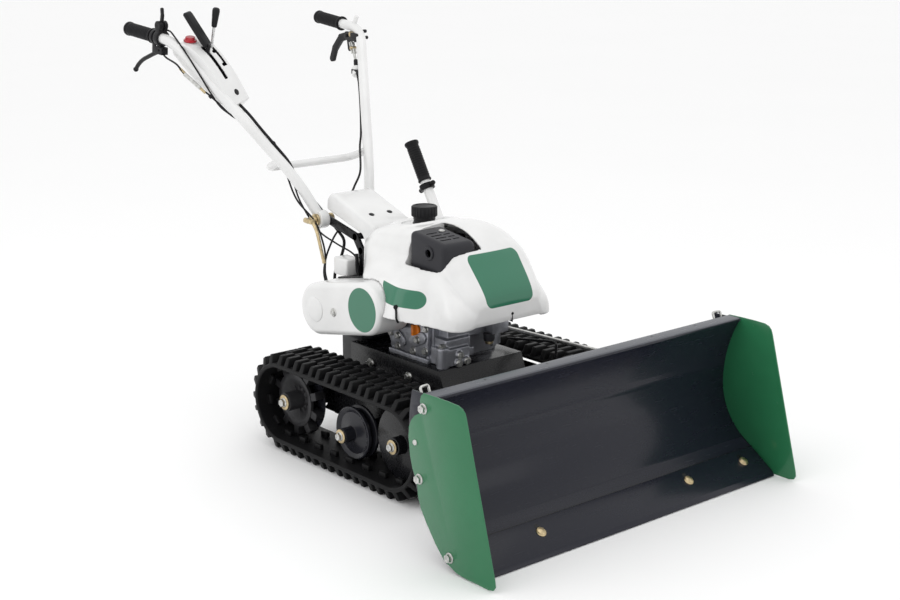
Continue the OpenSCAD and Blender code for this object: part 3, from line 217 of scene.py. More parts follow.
white_moulding = white_gloss("white_moulding").material
white_tube = gloss_paint("white_tube", WHITE, 0.2, 0.6, 0.07).material
green_plate = gloss_paint("green_plate", GREEN, 0.22, 0.25, 0.2).material
blade_paint = dark_paint("blade_paint", NAVY, 0.26, 0.7).material
# The blade's lip paint: lighter grey-blue than the navy, a painted highlight where the top light falls on its
# top.
lip_painted_highlight = dark_paint("lip_painted_highlight", rgb(0.075, 0.08, 0.095), 0.26, 0.5).material
black_paint = dark_paint("black_paint", BLACK, 0.28, 0.3).material
wheel_paint = dark_paint("wheel_paint", rgb(0.016, 0.0165, 0.0215), 0.24, 0.2).material
black_moulding = moulded_plastic("black_moulding", rgb(0.009, 0.009, 0.0105), 0.42, 900.0).material
guard_moulding = moulded_plastic("guard_moulding", rgb(0.028, 0.028, 0.033), 0.46, 700.0).material
grip_rubber = rubber("grip_rubber", rgb(0.006, 0.006, 0.007), 0.42, 0.2).material
track_rubber = rubber("track_rubber", rgb(0.006, 0.006, 0.0066), 0.5, 0.5).material
cable_skin = rubber("cable_skin", rgb(0.01, 0.01, 0.011), 0.38, 0.15).material
grey_casting = casting("grey_casting", rgb(0.5, 0.51, 0.56), 0.34, 0.75).material
dark_casting = casting("dark_casting", rgb(0.035, 0.035, 0.038), 0.5, 0.3).material
zinc = plated("zinc", rgb(0.62, 0.62, 0.6), 0.26).material
yellow_zinc = plated("yellow_zinc", rgb(0.62, 0.5, 0.3), 0.3).material
bright_rod = plated("bright_rod", rgb(0.7, 0.7, 0.7), 0.2).material
red_plastic = gloss_paint("red_plastic", rgb(0.42, 0.008, 0.02), 0.3, 0.4, 0.1).material
orange_plastic = gloss_paint("orange_plastic", rgb(0.75, 0.2, 0.012), 0.35, 0.2, 0.15).material

FINISHED_NODES = (
    (black_paint, "chassis_frame track_frame_right track_frame_left belt_plate handle_bracket idler_right"
                  " idler_left clutch_bracket push_frame"),
    (dark_casting, "transmission_case muffler crank_pulley driven_pulley sprocket_right sprocket_left"),
    (track_rubber, "track_belt_right track_belt_left drive_belt"),
    (grey_casting, "engine_crankcase engine_cylinder carburettor"),
    (black_moulding, "recoil_housing fuel_tank fuel_cap roller_right roller_left throttle_housing"
                     " side_clutch_bracket throttle_lever side_clutch_lever clutch_lever speed_lever"),
    (guard_moulding, "muffler_guard"),
    (white_moulding, "hood rear_hood belt_cover console"),
    (cable_skin, "lower_cables control_cables"),
    (zinc, "frame_bolts cover_screws lift_rod blade_bolts"),
    (orange_plastic, "oil_cap"),
    (white_tube, "handle_tube_right handle_tube_left crossbar lift_lever"),
    (grip_rubber, "grip_right grip_left lift_grip"),
    (bright_rod, "shift_lever"),
    (red_plastic, "stop_button"),
    (yellow_zinc, "handle_clamp_right handle_clamp_left"),
    (blade_paint, "mouldboard cutting_edge"),
    (green_plate, "side_plate_right side_plate_left"))
NODE_FINISH = {name: finish for finish, names in FINISHED_NODES for name in names.split()}


def linked(obj):
    bpy.context.scene.collection.objects.link(obj)
    return obj


# Camera, floor and light
def look_from(azimuth, elevation):
    a, e = math.radians(azimuth), math.radians(elevation)
    back = Vector((math.sin(a) * math.cos(e), -math.cos(a) * math.cos(e), math.sin(e)))
    right = Vector((math.cos(a), math.sin(a), 0.0))
    return Matrix((right, back.cross(right), back)).transposed().to_4x4()


def make_camera():
    data = bpy.data.cameras.new("camera")
    data.sensor_width = 36.0
    data.lens = 63.91
    data.clip_end = 50.0
    camera = linked(bpy.data.objects.new("camera", data))
    camera.matrix_world = Matrix.Translation((-2.2990, -2.8130, 1.2761)) @ look_from(-40.476, 14.4446)
    bpy.context.scene.camera = camera


def soft_light(name, place, target, size, power):
    data = bpy.data.lights.new(name, "AREA")
    data.shape = "RECTANGLE"
    data.size, data.size_y = size
    data.energy = power
    light = linked(bpy.data.objects.new(name, data))
    light.location = place
    light.rotation_euler = (Vector(target) - Vector(place)).to_track_quat("-Z", "Y").to_euler()


def make_studio():
    mesh = bpy.data.meshes.new("floor")
    reach = 60.0
    mesh.from_pydata([(-reach, -reach, 0), (reach, -reach, 0), (reach, reach, 0), (-reach, reach, 0)], [],
                     [(0, 1, 2, 3)])
    floor = linked(bpy.data.objects.new("floor", mesh))
    paint = Paint("floor_paint")
    tone = paint.mix(paint.noise(0.8), rgb(0.94, 0.94, 0.94), rgb(0.96, 0.96, 0.96))
    paint.set(Base_Color=tone, Roughness=0.8)
    mesh.materials.append(paint.material)
    world = bpy.data.worlds.new("studio")
    world.use_nodes = True
    sky = world.node_tree.nodes["Background"].inputs
    sky["Color"].default_value = rgb(1.0, 1.0, 1.0)
    sky["Strength"].default_value = 1.0
    bpy.context.scene.world = world
    bpy.context.scene.view_settings.view_transform = "Standard"
    soft_light("top_box", (-0.4, -0.6, 3.4), (0, 0, 0.3), (3.2, 2.6), 14)
    soft_light("left_box", (-3.2, 0.4, 1.7), (0, -0.1, 0.4), (2.2, 1.8), 12)
    soft_light("front_box", (0.6, -3.8, 1.4), (0, -0.4, 0.3), (2.4, 1.4), 6)


make_camera()
make_studio()


# Mesh tools
def at(x, y, z):
    return Vector((x, y, z)) * MM


def as_mesh(name, bm, finish, sharp=38.0):
    bmesh.ops.recalc_face_normals(bm, faces=bm.faces)
    mesh = bpy.data.meshes.new(name)
    bm.to_mesh(mesh)
    bm.free()
    mesh.materials.append(finish)
    mesh.polygons.foreach_set("use_smooth", [True] * len(mesh.polygons))
    mesh.set_sharp_from_angle(angle=math.radians(sharp))
    return mesh


def placed(name, mesh, body, stands_for):
    """A finished piece that rides on a body and may stand for CAD nodes."""
    obj = linked(bpy.data.objects.new(name, mesh))
    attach(obj, body)
    if stands_for:
        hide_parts(*stands_for)
    return obj


def add_piece(name, body, finish, bm, stands_for=(), sharp=38.0):
    return placed(name, as_mesh(name, bm, finish, sharp), body, stands_for)


def remove_helpers(objects):
    for obj in objects:
        data = obj.data
        bpy.data.objects.remove(obj)
        bpy.data.meshes.remove(data)


def stitch(bm, rings, loop=False):
    """Faces between neighbouring rings of points, with a cap at each end or closed to a loop."""
    rows = [[bm.verts.new(p) for p in ring] for ring in rings]
    pairs = list(zip(rows, rows[1:]))
    if loop:
        pairs.append((rows[-1], rows[0]))
    count = len(rows[0])
    for a, b in pairs:
        for i in range(count):
            j = (i + 1) % count
            bm.faces.new((a[i], a[j], b[j], b[i]))
    if not loop:
        bm.faces.new(rows[0][::-1])
        bm.faces.new(rows[-1])
    return bm


def side_axes(axis):
    axis = Vector(axis).normalized()
    helper = Vector((0, 0, 1)) if abs(axis.z) < 0.9 else Vector((1, 0, 0))
    u = axis.cross(helper).normalized()
    return axis, u, axis.cross(u)


def circle(centre, u, v, radius, steps):
    """A ring of points around a centre in metres, with its radius in millimetres."""
    turns = (math.tau * k / steps for k in range(steps))
    return [centre + radius * MM * (u * math.cos(t) + v * math.sin(t)) for t in turns]


def turned(bm, profile, base, axis, steps=40):
    """A turned shape: radii and heights in millimetres along an axis from a base point in metres."""
    axis, u, v = side_axes(axis)
    least = 0.02
    return stitch(bm, [circle(base + axis * height * MM, u, v, max(radius, least), steps)
                       for radius, height in profile])


def add_turned(name, body, finish, profile, base, axis, steps=40, stands_for=()):
    add_piece(name, body, finish, turned(bmesh.new(), profile, base, axis, steps), stands_for)


def tube(bm, path, radius, sides=24):
    """A round tube along points in metres, with its radius in millimetres."""
    last = len(path) - 1
    ahead = [(path[min(i + 1, last)] - path[max(i - 1, 0)]).normalized() for i in range(last + 1)]
    _, u, _ = side_axes(ahead[0])
    rings = []
    for point, direction in zip(path, ahead):
        u = (u - direction * u.dot(direction)).normalized()
        rings.append(circle(point, u, direction.cross(u), radius, sides))
    return stitch(bm, rings)


def bent(points, radii, steps=12):
    """A path of straight runs with a smooth bend at each inner point, from millimetres to metres."""
    points = [Vector(p) for p in points]
    path = [points[0]]
    for a, b, c, r in zip(points, points[1:], points[2:], radii):
        p = b + r * (a - b).normalized()
        q = b + r * (c - b).normalized()
        for i in range(steps + 1):
            t = i / steps
            path.append((1 - t) ** 2 * p + 2 * t * (1 - t) * b + t * t * q)
    path.append(points[-1])
    return [p * MM for p in path]


def flowing(points, steps=10):
    """A smooth path through points, from millimetres to metres."""
    points = [Vector(p) for p in points]
    last = len(points) - 1
    path = []
    for i in range(last):
        a, b, c, d = points[max(i - 1, 0)], points[i], points[i + 1], points[min(i + 2, last)]
        for k in range(steps):
            t = k / steps
            path.append(0.5 * (2 * b + t * (c - a) + t * t * (2 * a - 5 * b + 4 * c - d)
                               + t ** 3 * (3 * b - a - 3 * c + d)))
    path.append(points[-1])
    return [p * MM for p in path]


def plate(bm, outline, low, high, put=at):
    """A flat outline in Y and Z, given its width along X; put moves a point to its place."""
    return stitch(bm, [[put(x, y, z) for y, z in outline] for x in (low, high)])


def block(bm, low, high, put=at):
    outline = [(low[1], low[2]), (high[1], low[2]), (high[1], high[2]), (low[1], high[2])]
    return plate(bm, outline, low[0], high[0], put)


def round_edges(bm, width, segments=3, angle=30.0):
    bmesh.ops.remove_doubles(bm, verts=bm.verts, dist=2e-6)
    edges = [e for e in bm.edges if len(e.link_faces) == 2 and e.calc_face_angle() > math.radians(angle)]
    bmesh.ops.bevel(bm, geom=edges, offset=width * MM, offset_type="OFFSET", segments=segments,
                    profile=0.5, affect="EDGES", clamp_overlap=True)
    return bm


def round_bar(a, b, width, steps=10):
    """The outline of a bar with round ends between two points in Y and Z."""
    a, b = Vector(a), Vector(b)
    lean = math.atan2(b.y - a.y, b.x - a.x)
    points = []
    for centre, start in ((b, lean - math.pi / 2), (a, lean + math.pi / 2)):
        for k in range(steps + 1):
            t = start + math.pi * k / steps
            points.append((centre.x + width / 2 * math.cos(t), centre.y + width / 2 * math.sin(t)))
    return points


def modify(obj, kind, **settings):
    modifier = obj.modifiers.new(kind, kind)
    for key, value in settings.items():
        setattr(modifier, key, value)


def shaped(bm, cutters=(), voxel=0.0, relax=0):
    """The shape with other closed shapes cut away, and if wanted evened out to soft moulded edges."""
    tools = []
    for form in [bm, *cutters]:
        bmesh.ops.recalc_face_normals(form, faces=form.faces)
        mesh = bpy.data.meshes.new("form")
        form.to_mesh(mesh)
        form.free()
        tools.append(linked(bpy.data.objects.new("form", mesh)))
    body = tools[0]
    for tool in tools[1:]:
        modify(body, "BOOLEAN", operation="DIFFERENCE", solver="EXACT", object=tool)
    if voxel:
        modify(body, "REMESH", mode="VOXEL", voxel_size=voxel * MM)
        modify(body, "SMOOTH", factor=0.5, iterations=relax)
    bpy.context.view_layer.update()
    result = bmesh.new()
    evaluated = body.evaluated_get(bpy.context.evaluated_depsgraph_get())
    result.from_mesh(evaluated.to_mesh())
    evaluated.to_mesh_clear()
    remove_helpers(tools)
    return result


def softened(node, body, width, segments=2, angle=35.0):
    """A CAD node as a clean mesh with whole flat faces and its sharp edges rounded."""
    bm = bmesh.new()
    bm.from_mesh(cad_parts[node].data)
    bmesh.ops.remove_doubles(bm, verts=bm.verts, dist=4e-6)
    bmesh.ops.dissolve_limit(bm, angle_limit=math.radians(0.5), verts=bm.verts, edges=bm.edges)
    add_piece(node + "_soft", body, NODE_FINISH[node], round_edges(bm, width, segments, angle), (node,), 40.0)


# Repeated items, set on places by Geometry Nodes
def repeat_tree():
    tree = bpy.data.node_groups.new("items_on_places", "GeometryNodeTree")
    sockets = {}
    for name, kind in (("Places", "Geometry"), ("Item", "Object"), ("Size", "Float"), ("Finish", "Material")):
        sockets[name] = tree.interface.new_socket(name, in_out="INPUT", socket_type="NodeSocket" + kind)
    tree.interface.new_socket("Result", in_out="OUTPUT", socket_type="NodeSocketGeometry")
    made = {}
    for key, kind in (("given", "NodeGroupInput"), ("result", "NodeGroupOutput"),
                      ("item", "GeometryNodeObjectInfo"), ("facing", "GeometryNodeInputNamedAttribute"),
                      ("along", "GeometryNodeInputNamedAttribute"), ("turn", "FunctionNodeAxesToRotation"),
                      ("set", "GeometryNodeInstanceOnPoints"), ("solid", "GeometryNodeRealizeInstances"),
                      ("finish", "GeometryNodeSetMaterial")):
        made[key] = tree.nodes.new(kind)
    for key in ("facing", "along"):
        made[key].data_type = "FLOAT_VECTOR"
        made[key].inputs["Name"].default_value = key
    made["turn"].primary_axis = "Z"
    made["turn"].secondary_axis = "X"
    for a, out, b, into in (
            ("given", "Places", "set", "Points"), ("given", "Item", "item", "Object"),
            ("item", "Geometry", "set", "Instance"), ("given", "Size", "set", "Scale"),
            ("facing", "Attribute", "turn", "Primary Axis"), ("along", "Attribute", "turn", "Secondary Axis"),
            ("turn", "Rotation", "set", "Rotation"), ("set", "Instances", "solid", "Geometry"),
            ("solid", "Geometry", "finish", "Geometry"), ("given", "Finish", "finish", "Material"),
            ("finish", "Geometry", "result", "Result")):
        tree.links.new(made[a].outputs[out], made[b].inputs[into])
    return tree, {name: socket.identifier for name, socket in sockets.items()}


REPEAT, REPEAT_INPUT = repeat_tree()


def repeated(name, body, finish, item, places, stands_for=(), size=1.0):
    """One piece that holds an item at every place, given as point, outward direction and along direction."""
    form = linked(bpy.data.objects.new("item", as_mesh("item", item, finish)))
    mesh = bpy.data.meshes.new(name + "_places")
    mesh.from_pydata([place for place, _, _ in places], [], [])
    for key, index in (("facing", 1), ("along", 2)):
        values = mesh.attributes.new(key, "FLOAT_VECTOR", "POINT")
        values.data.foreach_set("vector", [c for place in places for c in place[index]])
    carrier = linked(bpy.data.objects.new(name + "_places", mesh))
    row = carrier.modifiers.new("row", "NODES")
    row.node_group = REPEAT
    row[REPEAT_INPUT["Item"]] = form
    row[REPEAT_INPUT["Size"]] = size
    row[REPEAT_INPUT["Finish"]] = finish
    bpy.context.view_layer.update()
    solid = bpy.data.meshes.new_from_object(carrier.evaluated_get(bpy.context.evaluated_depsgraph_get()))
    solid.name = name
    remove_helpers((carrier, form))
    return placed(name, solid, body, stands_for)


def bolt_item(size, washer=1.05, head=0.6, dome=False):
    """A flange bolt's head, standing on its washer face."""
    bm = bmesh.new()
    flange, reach, top = washer * size, 0.875 * size, (0.26 + head) * size
    turned(bm, [(0, 0), (flange, 0), (flange, 0.1 * size), (flange * 0.86, 0.28 * size), (0, 0.28 * size)],
           Vector(), UP, 28)
    if dome:
        profile = [(1.1 * reach, 0.2 * size), (reach, 0.36 * size), (0.6 * reach, 0.5 * size),
                   (0, 0.55 * size)]
        return turned(bm, profile, Vector(), UP, 24)
    hexagon = [(reach, 0.2 * size), (reach, top - 0.1 * size), (reach * 0.88, top), (reach * 0.5, top),
               (reach * 0.42, top - 0.07 * size), (0.02, top - 0.07 * size)]
    x, y = Vector((1, 0, 0)), Vector((0, 1, 0))
    return stitch(bm, [circle(at(0, 0, height), x, y, radius, 6) for radius, height in hexagon])


def spots(points, facing, along=(0, 0, 1)):
    """Places for repeated items that all face one way, from millimetres."""
    return [(Vector(p) * MM, Vector(facing), Vector(along)) for p in points]


# Tracks
TRACK_X, BELT_HALF, WHEEL_R, BELT_T, LUG_H = 246.0, 65.0, 86.0, 10.0, 21.0
AXLE_Z, REAR_Y, FRONT_Y = 117.0, 133.06, -271.06
PITCH, LINKS = 60.0, 23
NEUTRAL_R = WHEEL_R + BELT_T / 2
ROLLER_Y, ROLLER_Z = -87, 92.5


def on_track(length, radius):
    """Place and outward direction in Y and Z at a length along the belt, from the rear end of the top run."""
    span, arc = REAR_Y - FRONT_Y, math.pi * NEUTRAL_R
    length %= 2 * (span + arc)
    if length < span:
        return (REAR_Y - length, AXLE_Z + radius), (0.0, 1.0)
    if length < span + arc:
        turn, centre = math.pi / 2 + (length - span) / NEUTRAL_R, FRONT_Y
    elif length < 2 * span + arc:
        return (FRONT_Y + length - span - arc, AXLE_Z - radius), (0.0, -1.0)
    else:
        turn, centre = -math.pi / 2 + (length - 2 * span - arc) / NEUTRAL_R, REAR_Y
    out = (math.cos(turn), math.sin(turn))
    return (centre + radius * out[0], AXLE_Z + radius * out[1]), out


def lug_item(low, high, slope_low, slope_high, width):
    """A tread lug with sloping walls, standing on the belt."""
    bm = bmesh.new()
    draft = 1.6
    rows = ((-2.0, 0.0), (LUG_H - 0.4, 1.0))
    rings = []
    for height, share in rows:
        a, b = low + slope_low * share, high - slope_high * share
        half = width / 2 + draft * (0.6 - share)
        rings.append([at(a, -half, height), at(b, -half, height), at(b, half, height), at(a, half, height)])
    stitch(bm, rings)
    return round_edges(bm, 1.8, 3)


def link_places(side, shares, radius):
    places = []
    for link in range(LINKS):
        for share in shares:
            (y, z), (oy, oz) = on_track((link + share) * PITCH, radius)
            places.append((at(side * TRACK_X, y, z), Vector((0, oy, oz)), Vector((1, 0, 0))))
    return places


def make_track(side, word):
    edge, half_mid, side_lug = 0.36 * 2 * BELT_HALF, 0.23 * 2 * BELT_HALF, BELT_HALF - 0.8
    outer, inner, lip = WHEEL_R + BELT_T, WHEEL_R, 2.5
    rings = []
    parts = 10
    for k in range(LINKS * parts):
        ring = []
        ridge = 0.9 * (k % 5 == 0)
        for x, r in ((-BELT_HALF, inner + lip), (-BELT_HALF, outer - lip), (lip - BELT_HALF, outer + ridge),
                     (BELT_HALF - lip, outer + ridge), (BELT_HALF, outer - lip), (BELT_HALF, inner + lip),
                     (BELT_HALF - lip, inner), (lip - BELT_HALF, inner)):
            (y, z), _ = on_track(k * PITCH / parts, r)
            ring.append(at(side * TRACK_X + x, y, z))
        rings.append(ring)
    band = stitch(bmesh.new(), rings, loop=True)
    add_piece("belt_band_" + word, "machine", track_rubber, band, ("track_belt_" + word,), 30.0)
    for kind, lug, shares in (("in", (-side_lug, edge - BELT_HALF, 9, 3, 13), (0.1, 0.55)),
                              ("out", (BELT_HALF - edge, side_lug, 3, 9, 13), (0.1, 0.55)),
                              ("mid", (-half_mid, half_mid, 4, 4, 12), (0.35, 0.85))):
        repeated("belt_lugs_%s_%s" % (kind, word), "machine", track_rubber, lug_item(*lug),
                 link_places(side, shares, outer))
    guides = bmesh.new()
    for x in (-31, 31):
        block(guides, (x - 5, -12, -12), (x + 5, 12, 1))
    repeated("belt_guides_" + word, "machine", track_rubber, round_edges(guides, 2.0, 2),
             link_places(side, (0.35,), WHEEL_R))


for side, word in SIDES:
    make_track(side, word)
    for wheel in ("sprocket_", "idler_"):
        softened(wheel + word, wheel + word, 1.6)
    rim = [(50, 4), (58, 6), (61, 8), (61, 12), (60.5, 14.5), (58, 15.5), (52, 13.5), (48, 11), (26, 14),
           (18, 16)]
    profile = [(10.3, 45), (16, 45), (17, 44), (17, 17)] + rim[::-1] + [(24, 3)]
    profile += [(24, -3)] + [(r, -h) for r, h in rim] + [(17, -22), (10.3, -22), (10.3, 45)]
    wheel = turned(bmesh.new(), profile, at(side * TRACK_X, ROLLER_Y, ROLLER_Z), (side, 0, 0), 72)
    add_piece("roller_wheel_" + word, "roller_" + word, wheel_paint, wheel, ("roller_" + word,), 30.0)
    disc = [(20, -18), (70, -18), (78, -16), (80, -14), (79, -12), (70, -12.5), (20, -13), (20, -18)]
    add_turned("sprocket_disc_" + word, "sprocket_" + word, wheel_paint, disc,
               at(side * TRACK_X, REAR_Y, AXLE_Z), (side, 0, 0), 72)
    guard = [(196, 196), (204, 140), (196, 100), (182, 86), (-190, 84), (-208, 96), (-212, 196)]
    hole = turned(bmesh.new(), [(32, -20), (32, 20)], at(side * 186, REAR_Y, AXLE_Z), (1, 0, 0), 40)
    bm = shaped(plate(bmesh.new(), guard, side * 184, side * 188), [hole])
    add_piece("track_guard_" + word, "machine", black_paint, bm)


# Hood
def smooth_table(table, key):
    """Values between the rows of a table, on a smooth curve through them."""
    rows = sorted(table)
    keys = [row[0] for row in rows]
    key = min(max(key, keys[0]), keys[-1])
    i = max(j for j in range(len(rows) - 1) if keys[j] <= key)
    gap = keys[i + 1] - keys[i]
    t = (key - keys[i]) / gap

    def slope(j, column):
        a, b = max(j - 1, 0), min(j + 1, len(rows) - 1)
        return (rows[b][column] - rows[a][column]) / (keys[b] - keys[a])

    values = []
    for column in range(1, len(rows[0])):
        p, q = rows[i][column], rows[i + 1][column]
        m, n = slope(i, column) * gap, slope(i + 1, column) * gap
        values.append((2 * t ** 3 - 3 * t * t + 1) * p + (t ** 3 - 2 * t * t + t) * m
                      + (3 * t * t - 2 * t ** 3) * q + (t ** 3 - t * t) * n)
    return values


def ease(value, low, high):
    t = min(max((value - low) / (high - low), 0.0), 1.0)
    return t * t * (3 - 2 * t)


# Each row: place along the hood, half width at the foot, half width at the shoulder, top, shoulder radius
# and height of the foot
HOOD_ROWS = [
    (-319, 98, 90, 398, 14, 364), (-314, 116, 100, 414, 22, 351), (-306, 134, 106, 428, 28, 348.5),
    (-294, 145, 111, 445, 34, 348), (-275, 150, 117, 469, 42, 348), (-255, 151, 121, 494, 48, 348),
    (-235, 151, 123, 512, 52, 348), (-190, 153, 122, 536, 58, 348), (-130, 152, 120, 545, 60, 348),
    (-40, 140, 117, 534, 55, 348), (40, 118, 108, 521, 45, 348), (83, 102, 92, 500, 36, 348)]
CRANK, DRIVEN, COVER_R = (-68.0, 367.0), (110.0, 333.0), 61.0
CAP_Y = -28.0


def hood_ring(y, inset, foot_drop):
    """One cross section of the hood; its right side swells out to meet the belt cover."""
    back = 1.3 * inset * (1 - ease(y, -260, -200))
    foot, shoulder, top, radius, low = smooth_table(HOOD_ROWS, y - back)
    foot, shoulder, top, radius = foot - inset, shoulder - inset, top - inset, max(radius - inset, 4.0)
    swell = 56.0 * ease(y, -262, -146) * (1 - ease(y, -40, 80))
    full = 1 - ease(y, -278, -210)
    halves = []
    for side in (-1, 1):
        grow = swell if side < 0 else 0.0
        start = low + 0.25 * grow - foot_drop
        knee = top - radius
        half = []
        for k in range(16):
            t = k / 16
            z = start + (knee - start) * t
            fade = (1 - t) ** 1.8 * (1 - full) + (1 - t ** 3) * full
            x = shoulder + (foot - shoulder) * fade + grow * (1 - ease(z, 422, 488))
            half.append((side * x, z))
        for k in range(13):
            turn = math.pi / 2 * k / 12
            z = knee + radius * math.sin(turn)
            x = shoulder - radius + radius * math.cos(turn) + grow * (1 - ease(z, 422, 488))
            half.append((side * x, z))
        for k in range(1, 13):
            t = k / 13
            half.append((side * (shoulder - radius) * (1 - t), top + 4.0 * (1 - (1 - t) ** 2)))
        halves.append(half)
    outline = halves[0] + halves[1][::-1]
    ring = []
    for x, z in outline:
        away = math.hypot(x, y - CAP_Y)
        if z > 480:
            z = min(z, 526.0 - inset + 40.0 * ease(away, 50, 74)) + 4.5 * math.exp(-((away - 72) / 7) ** 2)
        ring.append(at(x, y, z))
    return ring


def hood_form(inset, start, end, foot_drop):
    count = 90
    places = [start + (end - start) * k / count for k in range(count + 1)]
    return stitch(bmesh.new(), [hood_ring(y, inset, foot_drop) for y in places])


def cover_outline(radius):
    """The outline around both pulleys in Y and Z."""
    return round_bar(CRANK, DRIVEN, 2 * radius, 40)


def make_hood():
    skin = 5.0
    notch = [(-116, 620), (-116, 473), (-121, 468), (-222, 467), (-232, 470), (-238, 478), (-241, 490),
             (-243, 505), (-247, 511), (-252, 518), (-252, 620)]
    cutters = [hood_form(skin, -314, 90, 40), plate(bmesh.new(), notch, -240, -15),
               plate(bmesh.new(), cover_outline(COVER_R + 2.0), -260, -70),
               block(bmesh.new(), (-260, 58, 200), (260, 120, 398))]
    bm = shaped(hood_form(0.0, -319, 83, 0.0), cutters, 2.5, 8)
    add_piece("hood_shell", "machine", hood_paint, bm, ("hood",), 60.0)
    wall = [(p.x / MM, p.z / MM) for p in hood_ring(-113, 2.0, 0) if -135 < p.x / MM < -11 and p.z / MM > 462]
    wall += [(-11, 456), (wall[0][0], 456)]
    bm = stitch(bmesh.new(), [[at(x, y, z) for x, z in wall] for y in (-115, -111)])
    add_piece("guard_wall", "machine", white_moulding, bm)


def above_zero(value):
    """1 where a value in metres is above zero and 0 where it is below, with a narrow edge."""
    edge = 0.0005
    return value.step(-edge, edge)


def distance(a, b):
    return (a ** 2.0 + b ** 2.0) ** 0.5


def green_field(p, field):
    """The paint's material with a green field where the mask is 1."""
    base = p.shader.inputs["Base Color"].links[0].from_socket
    p.set(Base_Color=p.mix(field, Value(p, base), PANEL_GREEN))
    return p.material


def hood_finish():
    p = white_gloss("hood_paint")
    x, y, z = p.axes()
    end = (-0.198 - y).higher(0.0)
    across = z - 0.4065 - (y + 0.198) * 0.086
    band = above_zero(distance(end, across) - 0.0195)
    slant = above_zero(y + 0.1125 - (z - 0.4105) * 0.59)
    on_side = above_zero(abs(x) - 0.09) * (1.0 - above_zero(y + 0.005))
    wide = (abs(x - 0.004) - (z - 0.446) * 0.06 - 0.055).higher(0.0)
    tall = (abs(z - 0.446) - 0.038).higher(0.0)
    panel = above_zero(distance(wide, tall) - 0.016)
    front = above_zero(-0.21 - y)
    return green_field(p, ((1.0 - band) * (1.0 - slant) * on_side).higher((1.0 - panel) * front))


hood_paint = hood_finish()
make_hood()


# Belt cover and rear hood
def cover_finish():
    p = white_gloss("cover_paint")
    x, y, z = p.axes()
    disc = above_zero(distance(y + 0.068, z - 0.366) - 0.0505)
    return green_field(p, (1.0 - disc) * above_zero(-0.2035 - x))


def make_cover():
    bm = bmesh.new()
    rows = [(-211.5, 17.0), (-211.5, 15.0), (-205, 5.0), (-125, 3.0), (-125, 0.0)]
    edge = 13.0
    for k in range(9):
        turn = math.pi / 2 * k / 8
        rows.append((-215 + edge - edge * math.sin(turn), edge * (1 - math.cos(turn))))
    rows.append((-215, edge + 2.0))
    stitch(bm, [[at(x, y, z) for y, z in cover_outline(COVER_R - inset)] for x, inset in rows])
    add_piece("belt_cover_shell", "machine", cover_finish(), bm, ("belt_cover",), 35.0)


def make_rear_hood():
    profile = [(84, 438), (84, 500), (92, 512), (108, 518), (238, 564), (257, 565), (270, 551), (273, 524),
               (134, 484), (104, 438)]
    hollow = [(80, 420), (90, 506), (109, 513), (238, 559), (255, 560), (265, 549), (268, 526), (262, 520),
              (132, 478), (100, 420)]
    bm = round_edges(plate(bmesh.new(), profile, -60, 60), 9.0, 4, 20.0)
    cutters = [plate(bmesh.new(), hollow, -56, 56)]
    for x in (-27, 27):
        cutters.append(turned(bmesh.new(), [(7, -40), (7, 40)], at(x, 136, 526), (0, -0.31, 0.95), 24))
    add_piece("rear_hood_shell", "machine", white_moulding, shaped(bm, cutters), ("rear_hood",), 35.0)


make_cover()
make_rear_hood()


# Muffler guard with its slots and exhaust opening, and the muffler can
def make_guard():
    exhaust = at(-121, -190, 503)
    outer = [(-241, 440), (-241, 527), (-120, 544), (-120, 440)]
    inner = [(-237, 420), (-237, 523), (-124, 540), (-124, 420)]
    bm = round_edges(plate(bmesh.new(), outer, -121, -28), 13.0, 5)
    inside = round_edges(plate(bmesh.new(), inner, -117, -32), 10.0, 3)
    cutters = [inside, turned(bmesh.new(), [(9, -20), (9, 20)], exhaust, (1, 0, 0), 28)]
    for k in range(4):
        y = -211 + 16 * k
        cutters.append(block(bmesh.new(), (-104, y, 515), (-74, y + 5, 560)))
        cutters.append(block(bmesh.new(), (-68, y, 515), (-50, y + 5, 560)))
    add_piece("guard_shell", "machine", guard_moulding, shaped(bm, cutters), ("muffler_guard",), 35.0)
    bm = round_edges(block(bmesh.new(), (-104, -226, 444), (-36, -132, 518)), 14.0, 5)
    round_edges(block(bm, (-73, -229, 441), (-69, -129, 521)), 1.0, 2, 60.0)
    add_piece("muffler_can", "machine", NODE_FINISH["muffler"], bm, ("muffler",))
    ring = [(9, -3), (9, 2.5), (10, 3.5), (14, 3.5), (15.5, 2), (15.5, -3)]
    add_turned("exhaust_ring", "machine", guard_moulding, ring, exhaust, (-1, 0, 0), 32)


make_guard()


# Handlebar
TUBE_TOP, TUBE_BEND = Vector((291, 768, 937)), Vector((283, 576, 918))
TUBE_KNEE, TUBE_FOOT = Vector((109, 319, 593)), Vector((73, 276, 501))
TUBE_RUN = (TUBE_KNEE - TUBE_BEND).normalized()


def mirror(point, side):
    return Vector((side * point[0], point[1], point[2]))


def beside_tube(side, down, inward, out):
    """A place beside a handle tube: length down the tube, inward and out of its upper side."""
    flat = Vector((TUBE_RUN.x, TUBE_RUN.y, 0)).normalized()
    inner = Vector((flat.y, -flat.x, 0))
    return mirror(TUBE_BEND + down * TUBE_RUN + inward * inner + out * (-TUBE_RUN).cross(inner), side)


def ribs(count, start, step, low, high, width):
    """The ribs of a grip as part of its profile."""
    rise = 0.8
    rib = ((low, 0), (high, rise), (high, width - rise), (low, width))
    return [(radius, start + step * k + height) for k in range(count) for radius, height in rib]


